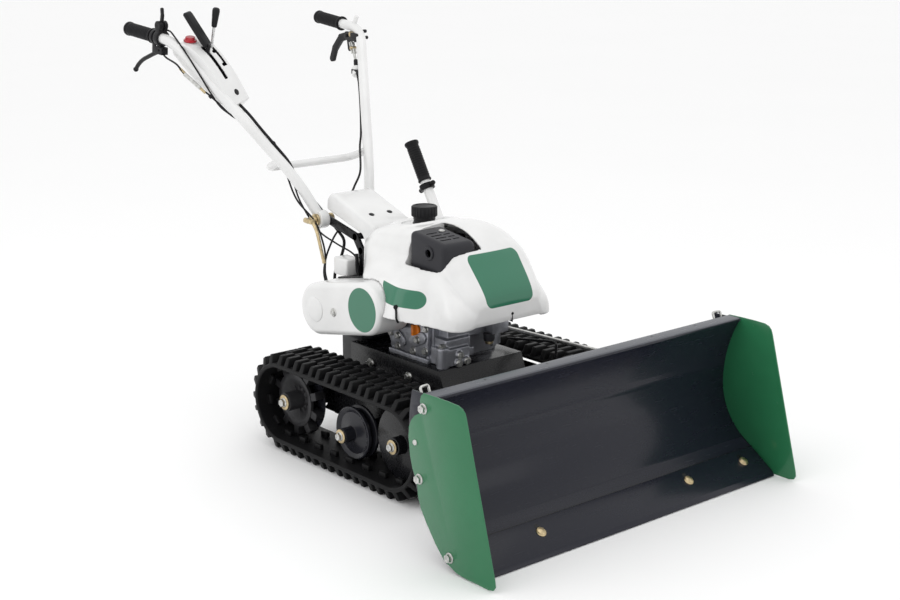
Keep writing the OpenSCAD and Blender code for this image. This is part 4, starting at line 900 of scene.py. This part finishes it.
def make_handle(side, word):
    corners = [mirror(point, side) for point in (TUBE_TOP, TUBE_BEND, TUBE_KNEE, TUBE_FOOT)]
    bm = tube(bmesh.new(), bent(corners, [45, 60], 16), 12.7, 32)
    profile = [(6.05, 61.2), (21, 61.2), (22, 62.2), (22, 84.8), (21, 85.8), (6.05, 85.8)]
    turned(bm, profile, Vector((0, TUBE_FOOT.y, TUBE_FOOT.z)) * MM, (side, 0, 0), 48)
    add_piece("handle_" + word, "handlebar", white_tube, bm, ("handle_tube_" + word,))
    run = mirror(TUBE_TOP - TUBE_BEND, side)
    start = corners[1] * MM + run.normalized() * 85 * MM
    profile = [(12.9, 0), (18.2, 0), (19, 1), (19, 4), (18.2, 5), (16, 6.5), (15.6, 12)]
    profile += ribs(15, 14, 5.8, 15.4, 16.3, 3.8)
    profile += [(15.6, 104), (16.5, 107), (17.6, 109), (17.6, 112.5), (16.4, 114.6), (12, 115), (0, 115)]
    add_turned("grip_rubber_" + word, "handlebar", grip_rubber, profile, start, run, 40, ("grip_" + word,))


for side, word in SIDES:
    make_handle(side, word)
path = bent([(134, 356, 639), (128, 422, 613), (-128, 422, 613), (-134, 356, 639)], [30, 30], 12)
add_piece("crossbar_tube", "handlebar", white_tube, tube(bmesh.new(), path, 9.5, 28), ("crossbar",))


# Console, with its own X inward, Y up the tube and Z out of its top
run = TUBE_KNEE - TUBE_BEND
CONSOLE = (Matrix.Translation((-TUBE_BEND.x, TUBE_BEND.y, TUBE_BEND.z))
           @ Matrix.Rotation(math.atan2(-run.x, -run.y), 4, "Z")
           @ Matrix.Rotation(math.asin(-run.z / run.length), 4, "X")
           @ Matrix.Translation((46.7, 0, 0)) @ Matrix.Rotation(math.radians(-14), 4, "Y")
           @ Matrix.Translation((-31, 0, 0)))


def on_console(x, y, z):
    return (CONSOLE @ Vector((x, y, z))) * MM


def console_axis(x, y, z):
    return (CONSOLE.to_3x3() @ Vector((x, y, z))).normalized()


def make_console():
    rows = [(-212, 14, -13), (-150, 32, -24), (-100, 41, -30), (-66, 42, -29), (-35, 36, -27), (-14, 21, -25),
            (-6, 6, -20)]
    rings = []
    for k in range(41):
        y = -212 + 206 * k / 40
        top, low = smooth_table(rows, y)
        wing = min(15.5, top - 1.0)
        outline = [(0, low), (0, wing), (-19, wing), (-19, top), (62, top), (62, low)]
        rings.append([on_console(x, y, z) for x, z in outline])
    bm = stitch(bmesh.new(), rings)
    slots = [((14, -148, 6), (26, -52, 60)), ((44, -119, 6), (53, -44, 60)), ((36, -52, 6), (48, -44, 60)),
             ((36, -80, 6), (48, -72, 60)), ((36, -119, 6), (48, -111, 60))]
    cutters = [block(bmesh.new(), low, high, on_console) for low, high in slots]
    bm = shaped(bm, cutters, 1.5, 4)
    inverse = CONSOLE.inverted()
    for face in bm.faces:
        spot = inverse @ (face.calc_center_median() / MM)
        top = smooth_table([(-212, 14), (-150, 32), (-110, 40), (-66, 42), (-35, 36), (-14, 19)], spot.y)[0]
        inside = [all(a - 0.2 < v < b + 0.2 for a, b, v in zip(low, high, spot)) for low, high in slots]
        if spot.z < top - 0.8 and any(inside):
            face.material_index = 1
    shell = add_piece("console_shell", "handlebar", white_moulding, bm, ("console",), 32.0)
    shell.data.materials.append(black_moulding)
    feet = bmesh.new()
    for y in (-185, -70):
        block(feet, (-12, y, -12), (3, y + 30, 4), on_console)
    add_piece("console_feet", "handlebar", white_moulding, round_edges(feet, 2.0, 2))
    plug = [(8, -3), (8, 0.6), (6.8, 1.6), (0, 1.8)]
    add_turned("console_plug", "handlebar", black_moulding, plug, on_console(27, -186, 21.6),
               console_axis(0, -0.28, 0.96), 24)


def make_console_levers():
    bm = plate(bmesh.new(), round_bar((-95, -10), (-64, 54), 10), 16, 24, on_console)
    outline = [(-64, 50), (-58, 61), (-20, 69), (20, 77), (28, 77), (32, 73), (30, 67), (-20, 56), (-52, 50)]
    plate(bm, outline, 8.0, 32.0, on_console)
    add_piece("speed_paddle", "speed_lever", black_moulding, round_edges(bm, 2.2, 3), ("speed_lever",))
    lean = math.radians(34.8)
    base, axis = on_console(44, -95, -10), console_axis(0.13, math.sin(lean), math.cos(lean))
    rod = [(3.5, 0), (3.5, 112)]
    add_turned("shift_rod", "shift_lever", bright_rod, rod, base, axis, 20, ("shift_lever",))
    knob = [(4.5, 108), (6.5, 110), (7.2, 118), (8.6, 138), (9.4, 148), (8.4, 153.5), (5.5, 156), (0, 156.6)]
    add_turned("shift_knob", "shift_lever", black_moulding, knob, base, axis, 32)
    lean = math.radians(38)
    seat, out = on_console(14, -24, 27), console_axis(0, math.sin(lean), math.cos(lean))
    button = [(5, -9), (5, 1.5), (16, 2.6), (16.6, 4.4), (15.6, 6.4), (12.6, 7.4), (12, 8.4), (12, 12.4),
              (10.8, 13.6), (0, 14)]
    add_turned("stop_push", "stop_button", red_plastic, button, seat, out, 40, ("stop_button",))


make_console()
make_console_levers()


# Hand levers, each with soft edges
for name in ("throttle_housing", "side_clutch_bracket", "clutch_bracket"):
    softened(name, "handlebar", 1.8, segments=3)
for name in ("throttle_lever", "clutch_lever"):
    softened(name, name, 1.8, segments=3)


# Side clutch lever, bent down behind its hub, and the small fittings on both tubes
def make_fittings():
    path = flowing([(-285.5, 626, 893), (-287, 655, 886), (-289, 690, 874), (-290, 716, 864),
                    (-290, 738, 851), (-290, 752, 838)], 8)
    lever = tube(bmesh.new(), path, 5.2, 20)
    turned(lever, [(0, -6), (5.4, -4), (6.6, 0), (5.4, 4), (0, 6)], at(-290, 752, 838), (0, 1, 0), 24)
    hub = [(0, -5), (9.5, -5), (10.5, -4), (10.5, 4), (9.5, 5), (0, 5)]
    turned(lever, hub, at(-285.5, 629, 894), (1, 0, 0), 32)
    add_piece("side_lever_bar", "side_clutch_lever", black_moulding, lever, ("side_clutch_lever",))
    gold, grey, white, black = bmesh.new(), bmesh.new(), bmesh.new(), bmesh.new()
    for start, end in ((58, 75), (127, 143)):
        tube(gold, [beside_tube(-1, start, -11 + (start - 58) * 0.02, -29.8 + (start - 58) * 0.075) * MM,
                    beside_tube(-1, end, -11 + (end - 58) * 0.02, -29.8 + (end - 58) * 0.075) * MM], 3.6, 8)
    tube(grey, [beside_tube(-1, 75, -12, -30) * MM, beside_tube(-1, 126.5, -9.9, -24.8) * MM], 4.6, 24)
    run, right_run = TUBE_RUN, mirror(TUBE_RUN, -1)
    turned(grey, [(0, -1), (4.2, 0), (4.2, 9), (3.2, 10), (3.2, 15), (4.6, 16), (4.6, 24), (0, 25)],
           beside_tube(-1, 211, 40, 3) * MM, right_run, 20)
    tube(grey, [beside_tube(1, 24, 24, -24) * MM, beside_tube(1, 84, 16, -24) * MM], 3.6, 12)
    for shift in (-5.5, 5.5):
        ends = [beside_tube(1, 26, 24 + shift, -24) * MM, beside_tube(1, 62, 19 + shift, -24) * MM]
        tube(grey, ends, 2.2, 10)
    turned(gold, [(0, -8), (4.4, -8), (4.4, 8), (0, 8)], beside_tube(1, 44, 21, -24) * MM, (1, -0.3, 0), 20)
    turned(gold, [(0, -3), (7, -3), (7, 2), (5.6, 3), (0, 3)], at(262, 590, 904), (-1, -0.2, 0), 24)
    spot = beside_tube(1, 84, 16, -24) * MM
    turned(black, [(3, 0), (5.6, 1), (5.2, 5), (6, 6), (5.4, 10), (6, 11), (5, 18), (3, 19)], spot, run, 24)
    turned(white, [(3, 24), (9.6, 24), (11, 25.5), (11, 49), (9.6, 50.5), (3, 50.5)], spot, run, 32)
    turned(white, [(0, -12), (6, -12), (6, 10), (5, 12), (0, 12.4)], at(284, 598, 940), (0, -0.5, 0.87), 24)
    tube(white, [beside_tube(1, 386, 12, 0) * MM, beside_tube(1, 390, 23, -3) * MM], 3.4, 12)
    for y, z in ((569, 912), (563, 896)):
        turned(black, [(0, -9), (4.6, -9), (4.6, 1), (3.6, 2), (0, 2)], at(294, y, z), (1, 0, 0), 20)
    clip = [(2, -5), (4.6, -4), (5.2, 0), (4.6, 4), (2, 5)]
    for down, inward, out in ((158, -8, -19.5), (342, 12, 13)):
        turned(black, clip, beside_tube(-1, down, inward, out) * MM, right_run, 20)
    for name, finish, bm in (
            ("gold_fittings", yellow_zinc, gold), ("zinc_fittings", zinc, grey),
            ("white_fittings", white_moulding, white), ("black_fittings", black_moulding, black)):
        add_piece(name, "handlebar", finish, bm)


make_fittings()


# Cables: each runs free of the tubes. A route has its first points, its places beside a handle tube and its
# last points
CABLES = (
    ("cable_side", 2.3, -1, [(-286, 625, 889), (-287, 608, 878)],
     [(45, -10, -29.5), (75, -12, -30), (126.5, -9.9, -24.8), (150, -8, -20.5), (185, -6, -17),
      (222, 1, -16.5), (260, 13, -9.5), (330, 17, -2.5), (395, 18, -2.5), (430, 6, -18)],
     [(-112, 318, 545), (-101, 262, 500), (-100, 234, 455), (-101, 223, 421), (-104, 220, 380),
      (-104, 200, 340)]),
    ("cable_console", 3.7, -1, [],
     [(210.6, 40, 3), (248, 31, 8), (300, 16, 12), (360, 12, 12.5), (400, 15, 9), (440, 17, -3)],
     [(-82, 312, 558), (-60, 276, 510), (-52, 237, 476), (-51, 216, 458), (-52, 215, 438), (-54, 228, 405),
      (-60, 240, 374), (-66, 236, 340)]),
    ("cable_throttle", 2.1, -1, [(-277.6, 616.7, 943.5), (-278, 604, 942), (-280, 585, 936)],
     [(45, -13.5, 9.5), (107, -16, -1), (150, -13, -11), (190, -1, -21.5), (225, 10, -18), (270, 18, -1),
      (330, 17.5, 4.5), (395, 17.5, 4.5), (432, 15, -11)],
     [(-116, 300, 545), (-88, 270, 478), (-75, 216, 452), (-69, 160, 437), (-68, 140, 421), (-68, 132, 392)]),
    ("cable_clutch", 2.7, 1, [],
     [(112, 16, -24), (140, 14, -19), (175, 12, -14), (250, 12, -11.8), (330, 15, -7.5), (375, 20, -2)],
     [(66, 300, 600), (36, 286, 566), (22, 281, 544), (20, 268, 512), (32, 240, 480), (52, 200, 440),
      (58, 150, 400)]))
CABLE_NODES = {"cable_side": "control_cables", "cable_console": "lower_cables"}

for name, radius, side, first, beside, last in CABLES:
    points = first + [beside_tube(side, *place) for place in beside] + last
    mesh = as_mesh(name, tube(bmesh.new(), flowing(points, 12), radius, 14), cable_skin)
    skin = linked(bpy.data.objects.new(name, mesh))
    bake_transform(skin)
    if name in CABLE_NODES:
        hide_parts(CABLE_NODES[name])
crossing = tube(bmesh.new(), flowing([(-57, 222, 486), (-60, 242, 461), (-62, 257, 436), (-66, 268, 407),
                                      (-78, 262, 372), (-86, 240, 340)], 10), 2.4, 12)
add_piece("cable_cross", "machine", cable_skin, crossing)
bundle = bmesh.new()
path = flowing([(-66, 146, 436), (-69, 140, 420), (-70, 138, 404), (-72, 130, 384), (-74, 128, 360)], 8)
tube(bundle, path, 4, 12)
tube(bundle, flowing([(-64, 150, 424), (-69, 146, 409), (-74, 160, 386), (-80, 168, 366)], 8), 2.6, 12)
add_piece("cable_bundle", "machine", cable_skin, bundle)


# Handle bracket, clamps and the small case behind the belt cover
arms = bmesh.new()
for side in (-1, 1):
    for start, end in (((276, 501), (160, 474)), ((160, 474), (138, 444)), ((138, 444), (128, 262))):
        plate(arms, round_bar(start, end, 20), side * 52, side * 60)
turned(arms, [(8, -53), (8, 53)], at(0, 160, 474), (1, 0, 0), 24)
add_piece("bracket_arms", "machine", black_paint, round_edges(arms, 1.6, 2), ("handle_bracket",))
for word in ("right", "left"):
    softened("handle_clamp_" + word, "handle_clamp_" + word, 1.0, angle=50.0)
case = round_edges(block(bmesh.new(), (-98, 142, 384), (-56, 196, 426)), 5.0, 3)
add_piece("control_case", "machine", white_moulding, case)


# Blade lift
lean = math.radians(30.95)
LEVER_UP = Vector((0, math.sin(lean), math.cos(lean)))
LEVER_BASE = Vector((160, -70, 195))


def on_lever(length):
    return (LEVER_BASE + LEVER_UP * length) * MM


softened("lift_lever", "lift_lever", 1.5)
profile = [(12.6, 452), (16, 452), (16.8, 453.4), (16.8, 456), (15.8, 457.4), (15.4, 462)]
profile += ribs(13, 464, 6, 15.3, 16.0, 4.0)
profile += [(15.4, 545), (17, 548), (18, 550), (18, 554), (16.6, 556), (12, 557), (0, 557)]
bm = turned(bmesh.new(), profile, LEVER_BASE * MM, LEVER_UP, 40)
collar = [(12.6, 430), (17.6, 430), (18.5, 431), (18.5, 443), (17.6, 444), (12.6, 444)]
turned(bm, collar, LEVER_BASE * MM, LEVER_UP)
along = Vector((0, math.cos(lean), -math.sin(lean)))
for way in (-1, 1):
    turned(bm, [(6, 14), (6, 27), (5, 29.5), (0, 30)], on_lever(437), along * way, 20)
add_piece("lift_grip_rubber", "lift_lever", grip_rubber, bm, ("lift_grip",))
softened("lift_rod", "lift_rod", 0.8)


# Blade
PLATE_EDGE = [
    (-567, 343), (-603, 344), (-640, 344), (-668, 343), (-680, 339), (-687, 332), (-691, 322), (-773, 25),
    (-775, 13), (-770, 5), (-758, 2), (-690, 2.5), (-664, 5), (-643, 13), (-627, 20), (-602, 45), (-576, 78),
    (-557, 106), (-549, 130), (-548, 148), (-543, 164), (-533, 180), (-526, 205), (-521, 244), (-523, 265),
    (-529, 279), (-541, 292), (-554, 299), (-560, 305), (-561, 312), (-558, 318), (-557, 326), (-560, 336)]
FLAT_LEAN = math.radians(56)
FLAT_OUT = Vector((0, math.cos(FLAT_LEAN), -math.sin(FLAT_LEAN)))
FLAT_DOWN = Vector((0, -math.sin(FLAT_LEAN), -math.cos(FLAT_LEAN)))
EDGE_ROW = Vector((0, -707, 190)) + 148 * FLAT_OUT + 62 * FLAT_DOWN - 6 * FLAT_OUT
EDGE_BOLTS = (-240, 200, 383)


def on_flat(down, out):
    """A place on the blade's lower flat in Y and Z: length down the flat and out of its back."""
    point = EDGE_ROW + (down - 62) * FLAT_DOWN + (out + 6) * FLAT_OUT
    return point.y, point.z


def make_blade():
    for side, word in SIDES:
        bm = round_edges(plate(bmesh.new(), PLATE_EDGE, side * 446.2, side * 450), 0.9, 2, 60.0)
        add_piece("plate_" + word, "blade", green_plate, bm, ("side_plate_" + word,))
    edge = [on_flat(*spot) for spot in ((30, -6), (107, -6), (118, -2), (118, 0), (30, 0))]
    bm = round_edges(plate(bmesh.new(), edge, -440, 440), 0.8, 2, 12.0)
    add_piece("edge_plate", "blade", blade_paint, bm, ("cutting_edge",))
    softened("push_frame", "blade", 1.5)
    softened("mouldboard", "blade", 0.7)
    places, screws = [], []
    for side in (-1, 1):
        places += spots([(side * 450, y, z) for y, z in ((-568, 312), (-554, 165), (-645, 30))], (side, 0, 0))
        screws += spots([(side * 450, -542, 237)], (side, 0, 0))
    repeated("plate_bolts", "blade", zinc, bolt_item(10.0, 1.1), places, ("blade_bolts",))
    repeated("plate_screws", "blade", zinc, bolt_item(6.0, 1.0, 0.3, True), screws)
    edge_spots = [at(x, EDGE_ROW.y, EDGE_ROW.z) for x in EDGE_BOLTS]
    repeated("edge_bolts", "blade", yellow_zinc, bolt_item(10.0, 1.15, 0.3, True),
             [(spot, -FLAT_OUT, Vector((1, 0, 0))) for spot in edge_spots])
    outline = round_bar((-6, 0), (15, 0), 11.5)
    slot = stitch(bmesh.new(), [[at(x, y, height) for x, y in outline] for height in (-0.4, 0.25)])
    repeated("edge_slots", "blade", black_paint, slot,
             [(spot, -FLAT_OUT, -FLAT_DOWN) for spot in edge_spots])
    hole = turned(bmesh.new(), [(2.6, -0.5), (2.6, 0.12), (2.2, 0.2), (0, 0.2)], Vector(), (0, 0, 1), 18)
    repeated("lip_holes", "blade", black_moulding, hole,
             spots([(x, -577, 342.4) for x in (-300, -131, 40, 180, 320)], (0, 0, 1), (1, 0, 0)))
    # The lip strip takes the lighter lip paint, a painted highlight on the navy blade's top.
    lip = [(-601, 336), (-602, 339), (-600.5, 341.4), (-597, 342.4), (-567, 342.4), (-566, 341.5),
           (-566, 340.1), (-597, 340.1), (-599, 339), (-599.5, 336)]
    add_piece("blade_lip", "blade", lip_painted_highlight, plate(bmesh.new(), lip, -446, 446))
    # A thin black strip along the cutting edge's top: painted shadow under the ledge where the edge plate
    # meets the mouldboard.
    seam_shadow = [on_flat(*spot) for spot in ((27.6, -0.4), (28.2, -1), (30.4, -6.3), (31.6, -6.3), (31.6, -5),
                                        (30.4, -0.4))]
    add_piece("edge_seam", "blade", black_paint, plate(bmesh.new(), seam_shadow, -440, 440))
    hooks = bmesh.new()
    for side in (-1, 1):
        tube(hooks, bent([(side * 440, -552, 334), (side * 440, -546, 348), (side * 418, -543, 348),
                          (side * 418, -549, 334)], [5, 5], 6), 2.8, 12)
    add_piece("rest_hooks", "blade", zinc, hooks)


make_blade()


# Machine pieces with soft edges
for name, width in (
        ("chassis_frame", 2.5), ("transmission_case", 4.0), ("engine_crankcase", 2.5),
        ("engine_cylinder", 1.0), ("recoil_housing", 2.0), ("carburettor", 2.0), ("fuel_tank", 3.0),
        ("track_frame_right", 2.0), ("track_frame_left", 2.0), ("belt_plate", 0.8)):
    softened(name, "machine", width)
softened("oil_cap", "oil_cap", 1.6)


# Engine castings with their bolts
FRONT_BOLTS = ((-62, 268), (-42, 252), (-66, 250))


def make_engine():
    bm = bmesh.new()
    for low, high in (((-100, -222, 244), (-30, -168, 284)), ((-92, -214, 280), (-20, -170, 304)),
                      ((-80, -206, 300), (30, -168, 332)), ((-36, -212, 256), (-8, -168, 276))):
        block(bm, low, high)
    for x, z in FRONT_BOLTS:
        turned(bm, [(9, -6), (9, 5), (7.6, 6), (0, 6)], at(x, -222, z), (0, -1, 0), 24)
    turned(bm, [(14, 238), (14, 286), (12, 289), (0, 289)], at(-98, -208, 0), (0, 0, 1), 32)
    add_piece("engine_front", "machine", grey_casting, shaped(bm, (), 1.8, 4), (), 60.0)
    edge = [(-166, 262), (-150, 254), (-52, 254), (-34, 262), (-26, 282), (-28, 330), (-44, 350), (-70, 358),
            (-110, 352), (-150, 340), (-168, 322)]
    bm = round_edges(plate(bmesh.new(), edge, -95, -106), 3.0, 3)
    plate(bm, round_bar((-150, 300), (-120, 286), 26), -104, -111)
    plate(bm, round_bar((-80, 278), (-50, 300), 22), -104, -110)
    add_piece("engine_side", "machine", grey_casting, round_edges(bm, 2.0, 2), (), 35.0)
    places = spots([(-106, y, z) for y, z in ((-158, 270), (-115, 262), (-60, 262), (-36, 290), (-160, 322))],
                   (-1, 0, 0))
    places += spots([(-111, -135, 293), (-110, -65, 289)], (-1, 0, 0))
    places += spots([(x, -228, z) for x, z in FRONT_BOLTS], (0, -1, 0)) + spots([(-98, -208, 289)], (0, 0, 1))
    repeated("engine_bolts", "machine", zinc, bolt_item(8.0, 1.15, 0.55), places)
    bowl_axis = at(37, -212, 0)
    bowl = [(6, 300), (13, 300), (13.6, 298), (13, 286), (11.5, 281), (0, 280)]
    add_turned("sediment_bowl", "machine", guard_moulding, bowl, bowl_axis, UP, 32)
    foot = [(9.5, 281), (9.5, 276), (8, 274), (0, 274)]
    add_turned("bowl_foot", "machine", yellow_zinc, foot, bowl_axis, UP, 28)


make_engine()


# Axle ends: plated washers and bolts
def make_axle_ends():
    washer = turned(bmesh.new(), [(5, 0), (15.5, 0), (16, 0.6), (16, 2.6), (15.2, 3.2), (5, 3.2)], Vector(),
                    (0, 0, 1), 40)
    ends, heads, chassis = [], [], []
    for side in (-1, 1):
        axles = [(FRONT_Y, AXLE_Z), (ROLLER_Y, ROLLER_Z)]
        ends += spots([(side * 292, y, z) for y, z in axles], (side, 0, 0))
        heads += spots([(side * 295, y, z) for y, z in axles], (side, 0, 0))
        chassis += spots([(side * 124, y, 205) for y in (-120, 20)], (side, 0, 0))
        chassis += spots([(side * 146, -230, 117)], (side, 0, 0))
    repeated("axle_washers", "machine", yellow_zinc, washer.copy(), ends, ("frame_bolts",))
    repeated("axle_bolts", "machine", zinc, bolt_item(10.0), heads)
    repeated("chassis_bolts", "machine", zinc, bolt_item(10.0, 1.2), chassis)
    for side, word in SIDES:
        spot = spots([(side * 290.4, REAR_Y, AXLE_Z)], (side, 0, 0))
        repeated("drive_washer_" + word, "sprocket_" + word, yellow_zinc, washer.copy(), spot, size=1.12)
        spot = spots([(side * 293.4, REAR_Y, AXLE_Z)], (side, 0, 0))
        repeated("drive_bolt_" + word, "sprocket_" + word, zinc, bolt_item(11.0), spot)
    washer.free()


make_axle_ends()


# Fuel cap with fine ribs, its neck collar, the cover's seal, the hood's catch and small screws
def make_fuel_cap():
    base = at(0, CAP_Y, 538)
    profile = [(23.1, 0), (25, 0), (25.6, 1), (25.6, 7), (28.4, 8), (29, 9), (29, 31), (28.2, 32.4),
               (26.8, 32.8), (25.6, 31.4), (0, 31.6)]
    add_turned("cap_body", "fuel_cap", black_moulding, profile, base, UP, 72, ("fuel_cap",))
    rib = round_edges(block(bmesh.new(), (-2.1, -0.8, -11), (2.1, 1.2, 11)), 0.7, 2)
    places = []
    count = 24
    for k in range(count):
        turn = math.tau * k / count
        out = Vector((math.cos(turn), math.sin(turn), 0))
        places.append((base + (out * 29 + UP * 20) * MM, UP, out.cross(UP)))
    repeated("cap_ribs", "fuel_cap", black_moulding, rib, places)
    collar = [(23, 524), (27, 524), (27, 531), (25, 533), (25, 537.6), (23, 537.6)]
    add_turned("neck_collar", "machine", black_moulding, collar, at(0, CAP_Y, 0), UP, 56)


def make_trim():
    lean = math.atan2(DRIVEN[1] - CRANK[1], DRIVEN[0] - CRANK[0])
    top = [(c[0] - r * math.sin(lean), c[1] + r * math.cos(lean)) for r in (COVER_R + 0.2, COVER_R + 3.4)
           for c in (CRANK, DRIVEN)]
    seal = plate(bmesh.new(), [top[0], top[1], top[3], top[2]], -140, -128)
    add_piece("cover_seal", "machine", grip_rubber, round_edges(seal, 1.2, 2))
    route = [(-195, -164, 389), (-197, -168, 381), (-200, -172, 373), (-202.5, -176, 366), (-198, -176, 357)]
    catch = tube(bmesh.new(), flowing(route, 6), 2.4, 12)
    turned(catch, [(4.8, -4), (4.8, 2), (3.6, 3), (0, 3)], at(-195, -164, 389), (-1, -0.35, 0), 20)
    add_piece("hood_catch", "machine", grip_rubber, catch)
    screw = spots([(-54, -154, 539)], (0, -0.14, 0.99))
    repeated("guard_screws", "machine", zinc, bolt_item(6.0, 1.2, 0.3, True), screw)
    screw = spots([(-215, 38, 340)], (-1, 0, 0))
    repeated("cover_bolts", "machine", zinc, bolt_item(8.0, 1.25, 0.45), screw, ("cover_screws",))
    lump = [(30, -2), (29, 1.2), (24, 2.8), (12, 3.6), (0, 3.8)]
    add_turned("cover_lump", "machine", white_moulding, lump, at(-215, *DRIVEN), (-1, 0, 0), 56)
    profile = [(3.4, -8), (3.4, 0.6), (2.6, 1.4), (0, 1.4)]
    dots = turned(bmesh.new(), profile, at(10, -319.2, 371), (0, -1, 0), 20)
    plate(dots, [(-320.2, 352), (-310, 352), (-310, 367), (-320.2, 367)], 9.6, 10.4)
    for x in (-27, 27):
        turned(dots, [(6.8, -4), (6.8, 1.4), (5.6, 2.2), (0, 2.2)], at(x, 136, 527), (0, -0.31, 0.95), 24)
    add_piece("dark_screws", "machine", black_moulding, dots)
    path = bent([(128, -176, 262), (150, -300, 277), (152, -314, 275), (152, -312, 238)], [10, 8], 6)
    add_piece("link_rod", "machine", black_paint, tube(bmesh.new(), path, 3.0, 12))


make_fuel_cap()
make_trim()


for name, finish in NODE_FINISH.items():
    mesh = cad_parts[name].data
    mesh.materials.clear()
    mesh.materials.append(finish)
